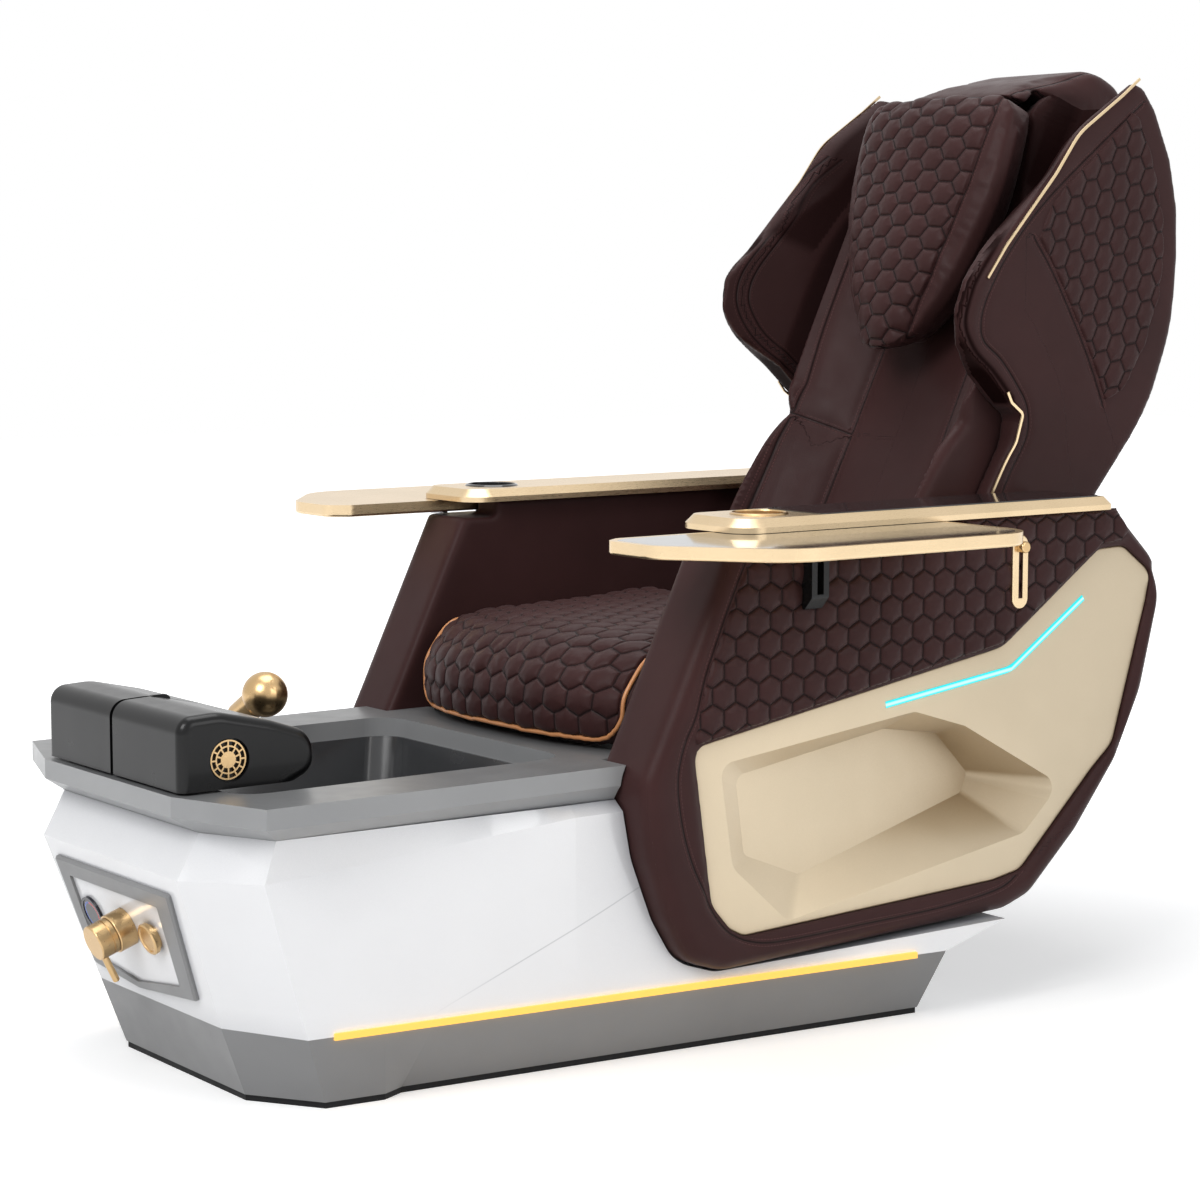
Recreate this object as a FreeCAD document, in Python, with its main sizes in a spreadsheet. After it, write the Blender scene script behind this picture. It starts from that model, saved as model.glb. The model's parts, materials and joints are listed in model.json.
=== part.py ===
# Pedicure spa chair: a footbath tub with a massage style chair built over its rear half.
# Frame: +Z up, the tub's front faces -Y, the occupant's left is +X, and the origin is on the
# floor under the middle of the base. All sizes are in millimetres.
import FreeCAD, Part
import math
import os
import re
import Sketcher

Vec = FreeCAD.Vector

# Driving dimensions. Each is one cell of the spreadsheet, under its own name.
SIZES = {
    # Base, from the floor up. A "half" is a half width, measured from the middle plane.
    "plinth_height": 9.0,
    "plinth_inset": 2.0,
    "foot_front_half": 174.0,
    "foot_front_y": -537.0,
    "foot_corner_half": 273.0,
    "foot_corner_y": -470.0,
    "kick_front_half": 284.0,
    "kick_front_y": -381.0,
    "kick_back_half": 268.0,
    "kick_back_y": -345.0,
    "foot_rear_half": 362.0,
    "foot_rear_y": 521.0,
    "belt_height": 107.0,
    "belt_front_half": 177.0,
    "belt_front_y": -574.0,
    "belt_corner_half": 301.0,
    "belt_corner_y": -512.0,
    "belt_rear_half": 421.0,
    "belt_rear_y": 524.0,
    "skirt_wall": 8.0,
    # White tub shell above the belt.
    "shell_wall": 8.0,
    "waist_height": 322.0,
    "waist_front_half": 199.0,
    "waist_front_y": -649.0,
    "waist_corner_half": 293.0,
    "waist_corner_y": -570.0,
    "waist_rise_half": 344.0,
    "waist_rise_y": -105.0,
    "waist_rise_height": 368.0,
    "tail_height": 152.0,
    "tail_y": 690.0,
    "neck_height": 383.0,
    "neck_front_half": 199.0,
    "neck_front_y": -615.0,
    "neck_corner_half": 310.0,
    "neck_corner_y": -562.0,
    "neck_side_half": 329.0,
    # Grey rim and the basin hung in it.
    "rim_edge_height": 405.0,
    "rim_height": 433.0,
    "rim_front_half": 187.5,
    "rim_front_y": -650.0,
    "rim_corner_y": -595.0,
    "rim_side_half": 344.0,
    "rim_end_y": 60.0,
    "rim_wall": 14.0,
    "basin_half": 238.0,
    "basin_front_y": -575.0,
    "basin_back_y": -42.0,
    "basin_corner": 46.0,
    "basin_floor_height": 196.0,
    "basin_taper": 46.0,
    "basin_wall": 4.0,
    "basin_lip": 14.0,
    "drain_radius": 34.0,
    "drain_bore": 22.0,
    "drain_length": 46.0,
    "drain_lip": 2.0,
    "stopper_radius": 27.0,
    "jet_radius": 44.0,
    "jet_depth": 30.0,
    "impeller_radius": 33.0,
    # Light strips along the belt.
    "base_light_start_y": -474.0,
    "base_light_end_y": 470.0,
    "base_light_width": 9.0,
    "base_light_proud": 3.0,
    # Control panel on the sloping front face.
    "control_height": 221.0,
    "control_depth": 7.0,
    "plate_depth": 3.0,
    "mixer_x": -8.0,
    "mixer_radius": 28.0,
    "mixer_base_length": 27.0,
    "handle_radius": 25.5,
    "handle_length": 28.0,
    "lever_radius": 5.0,
    "lever_length": 40.0,
    "button_x": 71.0,
    "button_radius": 23.0,
    "button_travel": 4.0,
    "disc_x": -108.0,
    "disc_radius": 27.0,
    # Spout on the rim.
    "spout_x": -292.0,
    "spout_y": -275.0,
    "spout_base_radius": 24.0,
    "spout_base_height": 6.0,
    "spout_post_height": 10.0,
    "spout_arm_radius": 20.0,
    "spout_head_radius": 34.5,
    "spout_reach_x": 62.0,
    "spout_reach_y": 8.0,
    "spout_rise": 54.0,
    # Footrest on the front of the rim.
    "pad_length": 193.0,
    "pad_split": 8.0,
    "pad_front_y": -640.0,
    "pad_back_y": -436.0,
    "pad_lift": 3.5,
    "pad_height": 101.0,
    "pad_end_radius": 14.0,
    "pad_pivot_y": -566.0,
    "pad_pivot_height": 475.0,
    "shaft_radius": 9.0,
    "grille_radius": 27.0,
    "grille_depth": 5.0,
    # Side panels, armrests and trays.
    "panel_inner": 284.0,
    "panel_outer": 404.0,
    "panel_gap": 4.0,
    "panel_edge_radius": 26.0,
    "panel_back_radius": 12.0,
    "arm_height": 754.0,
    "cap_thickness": 20.0,
    "cap_inner": 262.0,
    "cap_outer": 421.0,
    "cap_front_y": 128.0,
    "cap_back_y": 868.0,
    "cap_bevel": 12.0,
    "cup_x": 341.0,
    "cup_y": 222.0,
    "cup_radius": 38.0,
    "cup_ring": 3.0,
    "cup_depth": 15.0,
    "cup_wall": 3.0,
    "inlay_thickness": 1.5,
    "tray_thickness": 19.0,
    "tray_gap": 0.6,
    "tray_inner": 350.0,
    "tray_outer": 624.0,
    "tray_front_y": -72.0,
    "tray_back_y": 512.0,
    "tray_rim": 11.0,
    "tray_top_depth": 3.0,
    "tray_shelf_y": 562.0,
    "tray_shelf_gap": 6.0,
    "tray_pin_x": 387.0,
    "tray_pin_y": 150.0,
    "tray_pin_radius": 7.0,
    "pin_socket_depth": 9.0,
    "support_y": 265.0,
    "support_width": 32.0,
    "support_depth": 24.0,
    "support_height": 94.0,
    "slot_y": 676.0,
    "slot_bottom": 142.0,
    "slot_length": 112.0,
    "slot_plate_width": 32.0,
    "slot_plate_depth": 8.0,
    "knob_radius": 9.0,
    "knob_shank": 4.0,
    "knob_travel": 74.0,
    # Gold insert with its niche, and the light set in it.
    "insert_face": 393.0,
    "insert_wall": 4.0,
    "insert_skirt": 22.0,
    "niche_depth": 84.0,
    "side_light_width": 10.0,
    "side_light_proud": 1.5,
    # Seat.
    "seat_half": 277.0,
    "seat_edge_draw": 14.0,
    "seat_pan_thickness": 8.0,
    "seat_front_y": -22.0,
    "seat_front_bow": 66.0,
    "seat_back_y": 506.0,
    "seat_height": 585.0,
    "seat_crown": 9.0,
    # Backrest, laid out upright and then leaned back about its foot, which is set from the rim.
    "back_lean": 26.0,
    "back_foot_y": 514.0,
    "back_foot_z": 110.0,
    "hinge_depth": 150.0,
    "hinge_rise": -12.0,
    "hinge_radius": 8.0,
    "hinge_inner": 205.0,
    "hinge_plate": 8.0,
    "back_half": 224.0,
    "back_top": 985.0,
    "back_shell_wall": 7.0,
    "back_frame_depth": 150.0,
    "back_frame_thickness": 20.0,
    "cushion_seam": 80.0,
    "back_room_depth": 26.0,
    "cross_seam_rise": 404.0,
    "wing_outer": 306.0,
    "wing_low_outer": 257.0,
    "wing_edge_radius": 8.0,
    "wing_wall": 20.0,
    "trim_width": 4.0,
    "trim_proud": 2.5,
    "pillow_half": 186.0,
    "pillow_low": 487.0,
    "pillow_high": 938.0,
    "pillow_gap": 0.6,
    "hood_half": 132.0,
    # Clearances.
    "seat_fit": 0.3,
    "running_fit": 0.08,
}

doc = FreeCAD.newDocument("pedicure_chair")
sheet = doc.addObject("Spreadsheet::Sheet", "Sizes")
for row, (name, number) in enumerate(SIZES.items(), start=1):
    sheet.set("A%d" % row, name)
    sheet.set("B%d" % row, str(number))
    sheet.setAlias("B%d" % row, name)
doc.recompute()

NODES = []


def size(name):
    """The number in one cell of the spreadsheet."""
    return float(sheet.get(name))


def bound(text):
    """The same sum with each size's name pointed at its cell."""
    return re.sub(r"[a-z]\w*", lambda word: "Sizes." + word.group(0) if word.group(0) in SIZES
                  else word.group(0), text)


def keep(thing, label):
    """Name a finished piece, which is written to a file of that name."""
    thing.Label = label
    NODES.append(thing)
    return thing


# Sketch and body helpers.
def new_body(name):
    return doc.addObject("PartDesign::Body", name)


def new_sketch(body, role, name, height="0"):
    plane = [item for item in body.Origin.OriginFeatures if item.Role == role][0]
    sketch = body.newObject("Sketcher::SketchObject", name)
    sketch.AttachmentSupport = [(plane, "")]
    sketch.MapMode = "FlatFace"
    sketch.setExpression("AttachmentOffset.Base.z", bound(height))
    return sketch


def pin_point(sketch, edge, end, across, up, first):
    """Hold one end of an edge at two sums of sizes, measured from the sketch's origin."""
    spot = sketch.addConstraint(Sketcher.Constraint("DistanceX", -1, 1, edge, end, first[0]))
    sketch.setExpression("Constraints[%d]" % spot, bound(across))
    spot = sketch.addConstraint(Sketcher.Constraint("DistanceY", -1, 1, edge, end, first[1]))
    sketch.setExpression("Constraints[%d]" % spot, bound(up))


def draw_polygon(sketch, points):
    """Closed straight outline whose corners are sums of sizes."""
    count = len(points)
    turns = [2 * math.pi * index / count - 2 for index in range(count)]
    seeds = [(100 * math.cos(turn), 100 * math.sin(turn)) for turn in turns]
    base = len(sketch.Geometry)
    for index in range(count):
        start = seeds[index]
        end = seeds[(index + 1) % count]
        sketch.addGeometry(Part.LineSegment(Vec(start[0], start[1], 0), Vec(end[0], end[1], 0)), False)
    for index in range(count):
        follower = base + (index + 1) % count
        sketch.addConstraint(Sketcher.Constraint("Coincident", base + index, 2, follower, 1))
        pin_point(sketch, base + index, 1, points[index][0], points[index][1], seeds[index])
    return sketch


def draw_box(sketch, left, right, low, high):
    return draw_polygon(sketch, [(left, low), (right, low), (right, high), (left, high)])


def draw_circle(sketch, across, up, radius):
    edge = sketch.addGeometry(Part.Circle(Vec(1, 1, 0), Vec(0, 0, 1), 5), False)
    pin_point(sketch, edge, 3, across, up, (1, 1))
    spot = sketch.addConstraint(Sketcher.Constraint("Radius", edge, 5.0))
    sketch.setExpression("Constraints[%d]" % spot, bound(radius))
    return sketch


def pad(body, sketch, length, backwards=False):
    feature = body.newObject("PartDesign::Pad", sketch.Name + "_pad")
    feature.Profile = sketch
    feature.Reversed = backwards
    feature.setExpression("Length", bound(length))
    return feature


def pocket(body, sketch, length, backwards=False):
    feature = body.newObject("PartDesign::Pocket", sketch.Name + "_pocket")
    feature.Profile = sketch
    feature.Reversed = backwards
    feature.setExpression("Length", bound(length))
    return feature


def revolve(body, sketch):
    """Turn a sketch drawn beside its vertical axis through a full circle."""
    feature = body.newObject("PartDesign::Revolution", sketch.Name + "_turned")
    feature.Profile = sketch
    feature.ReferenceAxis = (sketch, ["V_Axis"])
    feature.Angle = 360
    return feature


def dress(body, kind, test, amount):
    """Fillet or chamfer the edges of the body that pass a test."""
    doc.recompute()
    tip = body.Tip
    names = ["Edge%d" % (spot + 1) for spot, edge in enumerate(tip.Shape.Edges) if test(edge)]
    feature = body.newObject("PartDesign::" + kind, body.Name + "_" + kind.lower())
    feature.Base = (tip, names)
    feature.setExpression("Radius" if kind == "Fillet" else "Size", bound(amount))
    return feature


def both_sides(half):
    """The outline of a piece that is the same on both sides, from its points at x > 0."""
    return half + [("-(" + across + ")", up) for across, up in reversed(half)]


def mirrored(label, source):
    """The other side's piece."""
    other = doc.addObject("Part::Mirroring", label)
    other.Source = source
    other.Normal = Vec(1, 0, 0)
    return keep(other, label)


def at(thing, place):
    thing.Placement = place
    return thing


# Helpers for the shaped pieces.
PLANES = {
    "yz": lambda across, up, level: Vec(level, across, up),
    "xz": lambda across, up, level: Vec(across, level, up),
    "xy": lambda across, up, level: Vec(across, up, level),
}


def unit(first, second):
    run = math.hypot(second[0] - first[0], second[1] - first[1])
    return (second[0] - first[0]) / run, (second[1] - first[1]) / run


def outset(points, amount):
    """The same outline with every side moved out by an amount, or in if it is negative."""
    count = len(points)
    area = sum(points[index - 1][0] * points[index][1] - points[index][0] * points[index - 1][1]
               for index in range(count))
    side = 1 if area > 0 else -1
    moved = []
    for index in range(count):
        here = points[index]
        first = unit(points[index - 1], here)
        second = unit(here, points[(index + 1) % count])
        lean = amount * side / (1 + first[0] * second[0] + first[1] * second[1])
        turn = (first[0] * second[1] - first[1] * second[0]) * side
        radius = here[2] + (amount if turn > 0 else -amount) if here[2] > 0 else 0
        moved.append((here[0] + (first[1] + second[1]) * lean, here[1] - (first[0] + second[0]) * lean,
                      max(radius, 0)))
    return moved


def band(route, width):
    """Outline of a strip of one width along a route of (across, up, radius)."""
    left = []
    right = []
    for index, (across, up, radius) in enumerate(route):
        first = unit(route[max(index - 1, 0)], route[max(index, 1)])
        second = unit(route[min(index, len(route) - 2)], route[min(index + 1, len(route) - 1)])
        reach = width / 2 / (1 + first[0] * second[0] + first[1] * second[1])
        shift = ((first[1] + second[1]) * reach, -(first[0] + second[0]) * reach)
        grow = width / 2 if first[0] * second[1] - first[1] * second[0] > 0 else -width / 2
        inner = radius - grow if radius > 0 else 0
        outer = radius + grow if radius > 0 else 0
        left.append((across - shift[0], up - shift[1], inner))
        right.append((across + shift[0], up + shift[1], outer))
    return left + right[::-1]


def rounded(points, plane, level):
    """Closed wire of straight runs, where each point is (across, up, corner radius)."""
    place = plane if callable(plane) else PLANES[plane]
    spots = [place(point[0], point[1], level) for point in points]
    radii = [point[2] for point in points]
    count = len(spots)
    ends = {index: (spots[index], spots[index]) for index in range(count)}
    arcs = {}
    for index in range(count):
        if radii[index] <= 0:
            continue
        back = spots[index - 1] - spots[index]
        ahead = spots[(index + 1) % count] - spots[index]
        half_turn = back.getAngle(ahead) / 2
        reach = radii[index] / math.tan(half_turn)
        start = spots[index] + back.normalize() * reach
        end = spots[index] + ahead.normalize() * reach
        bisector = (back + ahead).normalize()
        deep = radii[index] / math.sin(half_turn) - radii[index]
        arcs[index] = Part.Arc(start, spots[index] + bisector * deep, end).toShape()
        ends[index] = (start, end)
    edges = []
    for index in range(count):
        if index in arcs:
            edges.append(arcs[index])
        start = ends[index][1]
        end = ends[(index + 1) % count][0]
        if start.distanceToPoint(end) > 1e-6:
            edges.append(Part.LineSegment(start, end).toShape())
    return Part.Wire(edges)


def slab(points, plane, low, high):
    """Solid between two levels of one rounded outline."""
    face = Part.Face(rounded(points, plane, low))
    return face.extrude(PLANES[plane](0, 0, high - low))


def loft(wires, ruled=True):
    return Part.makeLoft(wires, True, ruled)


def eased(rows, steps):
    """Rows of numbers with smooth in-between rows, so that a ruled loft through them looks curved."""
    fine = []
    last = len(rows) - 1
    for index in range(last):
        before = rows[max(index - 1, 0)]
        start = rows[index]
        end = rows[index + 1]
        after = rows[min(index + 2, last)]
        for step in range(steps):
            share = step / steps
            fine.append([smooth(share, *four) for four in zip(before, start, end, after)])
    fine.append(list(rows[-1]))
    return fine


def smooth(share, before, start, end, after):
    """Catmull-Rom value between start and end, kept between the two."""
    value = 0.5 * (2 * start + (end - before) * share
                   + (2 * before - 5 * start + 4 * end - after) * share ** 2
                   + (3 * start - before - 3 * end + after) * share ** 3)
    return min(max(value, min(start, end)), max(start, end))


def flip(shape):
    """The same shape on the other side of the middle plane."""
    return shape.mirror(Vec(0, 0, 0), Vec(1, 0, 0))


def soften(shape, radius, test):
    return shape.makeFillet(radius, [edge for edge in shape.Edges if test(edge)])


def shaped(label, shape, place=None):
    """A piece whose form is worked out here from the spreadsheet's sizes."""
    thing = doc.addObject("Part::Feature", label)
    if shape.ShapeType == "Compound" and len(shape.Solids) == 1:
        shape = shape.Solids[0]
    thing.Shape = shape
    if place is not None:
        thing.Placement = place
    return keep(thing, label)


def group(shapes):
    return Part.makeCompound(shapes)


def along(edge, axis):
    """True for a straight edge that runs along one axis of the frame."""
    if len(edge.Vertexes) < 2 or edge.Curve.TypeId != "Part::GeomLine":
        return False
    run = edge.Vertexes[1].Point - edge.Vertexes[0].Point
    return abs(run[axis]) > 0.999 * run.Length


def reaches(edge, axis, level):
    """True for an edge that lies wholly at one level of an axis."""
    box = edge.BoundBox
    low = (box.XMin, box.YMin, box.ZMin)[axis]
    high = (box.XMax, box.YMax, box.ZMax)[axis]
    return abs(low - level) < 0.01 and abs(high - level) < 0.01


# Base: plinth, skirt, shell and rim
FOOT = [("foot_front_half", "foot_front_y"), ("foot_corner_half", "foot_corner_y"),
        ("kick_front_half", "kick_front_y"), ("kick_back_half", "kick_back_y"),
        ("foot_rear_half", "foot_rear_y")]


def belt_half(y):
    """Half width of the belt at one place along its straight side."""
    run = (y - size("belt_corner_y")) / (size("belt_rear_y") - size("belt_corner_y"))
    return size("belt_corner_half") + run * (size("belt_rear_half") - size("belt_corner_half"))


def make_plinth():
    body = new_body("plinth_body")
    inset = [("%s - plinth_inset" % FOOT[0][0], "%s + plinth_inset" % FOOT[0][1]),
             ("%s - plinth_inset" % FOOT[1][0], "%s + plinth_inset" % FOOT[1][1]),
             ("%s - plinth_inset" % FOOT[2][0], FOOT[2][1]),
             ("%s - plinth_inset" % FOOT[3][0], FOOT[3][1]),
             ("%s - plinth_inset" % FOOT[4][0], "%s - plinth_inset" % FOOT[4][1])]
    sketch = draw_polygon(new_sketch(body, "XY_Plane", "plinth_outline"), both_sides(inset))
    pad(body, sketch, "plinth_height")
    keep(body, "plinth")


def foot_ring(inset, height):
    """The skirt's bottom or the belt, drawn in by a wall thickness."""
    half = [(size(x) - inset, size(y) + inset * (1 if size(y) < 0 else -1)) for x, y in FOOT]
    return closed_ring(half, height)


def belt_ring(inset, height):
    half = [(size("belt_front_half"), size("belt_front_y") + inset),
            (size("belt_corner_half") - inset, size("belt_corner_y") + inset),
            (belt_half(size("kick_front_y") - 20) - inset, size("kick_front_y") - 20),
            (belt_half(size("kick_back_y") + 20) - inset, size("kick_back_y") + 20),
            (size("belt_rear_half") - inset, size("belt_rear_y") - inset)]
    return closed_ring(half, height)


def closed_ring(half, height):
    """Level outline through points at x > 0 and their mirror images."""
    heights = height if isinstance(height, list) else [height] * len(half)
    near = [Vec(x, y, z) for (x, y), z in zip(half, heights)]
    far = [Vec(-spot.x, spot.y, spot.z) for spot in reversed(near)]
    return Part.makePolygon(near + far + near[:1])


def base_light_bar(grow):
    """Light strip along the belt, or the slot it lies in when it is grown by a clearance."""
    half = size("base_light_width") / 2 + grow
    start = size("base_light_start_y") - grow
    end = size("base_light_end_y") + grow
    proud = size("base_light_proud")
    depth = size("base_light_width")
    outline = [(belt_half(start) + proud, start, 0), (belt_half(end) + proud, end, 0),
               (belt_half(end) + proud - depth - grow, end, 0),
               (belt_half(start) + proud - depth - grow, start, 0)]
    return slab(outline, "xy", size("belt_height") - half, size("belt_height") + half)


def make_skirt():
    wall = size("skirt_wall")
    low = size("plinth_height")
    high = size("belt_height")
    outer = loft([foot_ring(0, low), belt_ring(0, high)])
    inner = loft([foot_ring(wall, low), belt_ring(wall, high)])
    ring = outer.cut(inner)
    slot = base_light_bar(size("seat_fit"))
    ring = ring.cut(slot).cut(flip(slot))
    shaped("skirt", ring)


def shell_rings(inset):
    """The shell's sections from the belt to the neck: belt, tail, waist and neck."""
    tail_share = (size("tail_height") - size("belt_height")) / (size("waist_height") - size("belt_height"))

    def between(low, high):
        return low + tail_share * (high - low)

    rise_y = size("waist_rise_y")
    belt = [(size("belt_front_half"), size("belt_front_y") + inset),
            (size("belt_corner_half") - inset, size("belt_corner_y") + inset),
            (belt_half(rise_y) - inset, rise_y),
            (size("belt_rear_half") - inset, size("belt_rear_y") - inset)]
    waist = [(size("waist_front_half"), size("waist_front_y") + inset),
             (size("waist_corner_half") - inset, size("waist_corner_y") + inset),
             (size("waist_rise_half") - inset, rise_y),
             (size("waist_rise_half") - inset, size("tail_y") - inset)]
    tail = [(between(low[0], high[0]), between(low[1], high[1])) for low, high in zip(belt, waist)]
    tail[3] = (size("belt_rear_half") - inset, size("tail_y") - inset)
    neck = [(size("neck_front_half"), size("neck_front_y") + inset),
            (size("neck_corner_half") - inset, size("neck_corner_y") + inset),
            (size("neck_side_half") - inset, rise_y),
            (size("neck_side_half") - inset, size("tail_y") - inset)]
    waist_heights = [size("waist_height"), size("waist_height"),
                     size("waist_rise_height"), size("waist_rise_height")]
    return [closed_ring(belt, size("belt_height")), closed_ring(tail, size("tail_height")),
            closed_ring(waist, waist_heights), closed_ring(neck, size("neck_height"))]


def panel_outline():
    """Side view (y, z, corner radius) of a side panel."""
    top = size("arm_height")
    return [(142, top, 0), (2, 464, 90), (-26, 408, 60), (-9, 300, 120), (22, 210, 90), (56, 148, 60),
            (120, 127, 60), (672, 145, 60), (724, 162, 50), (822, 250, 90), (908, 354, 90), (963, 462, 90),
            (1001, 606, 70), (985, 672, 50), (918, 735, 40), (866, top, 0)]


def panel_bay(grow):
    """Room on both sides for the panels, which is larger all round by a clearance or a wall."""
    bay = slab(outset(panel_outline(), grow), "yz", size("panel_inner") - size("seat_fit"), 1000)
    return [bay, flip(bay)]


def make_shell():
    wall = size("shell_wall")
    outer = loft(shell_rings(0))
    inner = loft(shell_rings(wall))
    cavity = inner
    for bay in panel_bay(size("panel_gap") + wall):
        bay.translate(Vec(-wall if bay.BoundBox.XMin > 0 else wall, 0, 0))
        cavity = cavity.cut(bay)
    body = outer.cut(cavity)
    for bay in panel_bay(size("panel_gap")):
        body = body.cut(bay)
    slot = base_light_bar(size("seat_fit"))
    body = body.cut(slot).cut(flip(slot))
    opening = slab([(-118, -58, 10), (-118, 44, 10), (104, 44, 10), (92, -58, 10)], "xy", -40, 40)
    opening.Placement = front_face()
    shaped("base_shell", body.cut(opening))


def front_face():
    """Placement of the control panel: local X across, local Y up the face, local Z outward."""
    slope = math.atan2(size("belt_front_y") - size("waist_front_y"),
                       size("waist_height") - size("belt_height"))
    rise = size("control_height") - size("belt_height")
    y = size("belt_front_y") - rise * math.tan(slope)
    return FreeCAD.Placement(Vec(0, y, size("control_height")),
                             FreeCAD.Rotation(Vec(1, 0, 0), 90 + math.degrees(slope)))


def make_seat_base():
    """Moulded deck that closes the shell behind the basin and carries the seat."""
    body = new_body("seat_base_body")
    half = "(panel_inner - seat_fit)"
    deck = new_sketch(body, "XY_Plane", "deck_outline", "neck_height + seat_fit")
    draw_box(deck, "-" + half, half, "rim_end_y + seat_fit", "tail_y")
    pad(body, deck, "rim_height - neck_height - seat_fit")
    hollow = new_sketch(body, "XY_Plane", "deck_hollow", "neck_height + seat_fit")
    draw_box(hollow, "-" + half + " + shell_wall", half + " - shell_wall",
             "rim_end_y + shell_wall", "tail_y - shell_wall")
    pocket(body, hollow, "rim_height - neck_height - 8", True)
    dress(body, "Fillet", lambda edge: along(edge, 2) and edge.BoundBox.YMin > 600
          and abs(edge.BoundBox.XMin) > size("panel_inner") - 5, "24")
    keep(body, "seat_base")


def make_rim():
    front = [(size("rim_front_half"), size("rim_front_y")), (size("rim_side_half"), size("rim_corner_y")),
             (size("rim_side_half"), size("rim_end_y"))]
    neck = [(size("neck_front_half"), size("neck_front_y")),
            (size("neck_corner_half"), size("neck_corner_y")),
            (size("neck_side_half"), size("rim_end_y"))]
    low = size("neck_height") + size("seat_fit")
    bevel = loft([closed_ring(neck, low), closed_ring(front, size("rim_edge_height"))])
    top = Part.Face(closed_ring(front, size("rim_edge_height"))).extrude(
        Vec(0, 0, size("rim_height") - size("rim_edge_height")))
    rim = bevel.fuse(top).removeSplitter()
    wall = size("rim_wall")
    hollow_half = [(x - wall, y + wall * (1 if y < 0 else -1)) for x, y in neck]
    hollow = Part.Face(closed_ring(hollow_half, low)).extrude(
        Vec(0, 0, size("rim_edge_height") - low - size("seat_fit")))
    rim = rim.cut(hollow)
    rim = rim.cut(basin_block(0, size("rim_height") + 10, 0))
    for bay in panel_bay(size("panel_gap")):
        rim = rim.cut(bay)
    shaped("tub_rim", rim)


def basin_ring(height, drop, wall):
    """Rounded outline of the basin: drop is 0 at the rim and 1 at the floor."""
    taper = drop * size("basin_taper")
    half = size("basin_half") - taper - wall
    low = size("basin_front_y") + taper * 0.7 + wall
    high = size("basin_back_y") - taper - wall
    corner = size("basin_corner") - wall
    return rounded([(-half, low, corner), (half, low, corner), (half, high, corner),
                    (-half, high, corner)], "xy", height)


def basin_block(low, high, wall):
    """Straight sided block the size of the basin's mouth."""
    return Part.Face(basin_ring(low, 0, wall)).extrude(Vec(0, 0, high - low))


def make_basin():
    lip_top = size("rim_edge_height") - size("seat_fit")
    floor = size("basin_floor_height")
    wall = size("basin_wall")
    fit = size("seat_fit")
    outer = loft([basin_ring(floor, 1, fit), basin_ring(lip_top, 0, fit)])
    inner = loft([basin_ring(floor + wall, 1, wall), basin_ring(lip_top + 0.01, 0, wall)])
    lip = Part.Face(basin_ring(lip_top - wall, 0, -size("basin_lip"))).extrude(Vec(0, 0, wall))
    bowl = outer.fuse(lip).cut(inner)
    bowl = bowl.cut(Part.makeCylinder(size("drain_bore"), 60, Vec(0, drain_y(), floor - 30)))
    bowl = bowl.cut(Part.makeCylinder(12, 80, jet_place().Base, jet_axis()))
    bowl = bowl.cut(Part.makeCylinder(12, 80, jet_place().Base, jet_axis() * -1))
    shaped("basin", bowl)


def drain_y():
    return (size("basin_front_y") + size("basin_back_y")) / 2


def jet_axis():
    """Direction out of the basin's sloping back wall, towards the water."""
    return jet_place().Rotation.multVec(Vec(0, 0, 1))


def jet_place():
    """Middle of the water jet on the inside of the back wall, local Z into the water."""
    low = size("basin_floor_height") + size("basin_wall")
    high = size("rim_edge_height") - size("seat_fit")
    y = size("basin_back_y") - size("basin_taper") / 2 - size("basin_wall")
    slope = math.degrees(math.atan2(size("basin_taper"), high - low))
    return FreeCAD.Placement(Vec(0, y, (low + high) / 2), FreeCAD.Rotation(Vec(1, 0, 0), 90 - slope))


def make_drain():
    floor = "(basin_floor_height + basin_wall)"
    body = new_body("drain_body_solid")
    profile = new_sketch(body, "XZ_Plane", "drain_profile")
    draw_polygon(profile, [("drain_bore - 6", floor + " - drain_length"),
                           ("drain_bore - seat_fit", floor + " - drain_length"),
                           ("drain_bore - seat_fit", floor + " + seat_fit"),
                           ("drain_radius", floor + " + seat_fit"),
                           ("drain_radius", floor + " + drain_lip"),
                           ("drain_bore - 6", floor + " + drain_lip")])
    revolve(body, profile)
    at(body, FreeCAD.Placement(Vec(0, drain_y(), 0), FreeCAD.Rotation()))
    keep(body, "drain_body")
    stopper = new_body("stopper_solid")
    outline = new_sketch(stopper, "XZ_Plane", "stopper_profile")
    under = floor + " + drain_lip + seat_fit"
    draw_polygon(outline, [("0", floor + " - drain_length + 8"), ("5", floor + " - drain_length + 8"),
                           ("5", under), ("stopper_radius", under),
                           ("stopper_radius - 3", under + " + 4"), ("0", under + " + 6")])
    revolve(stopper, outline)
    at(stopper, FreeCAD.Placement(Vec(0, drain_y(), 0), FreeCAD.Rotation()))
    keep(stopper, "drain_stopper")


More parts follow.
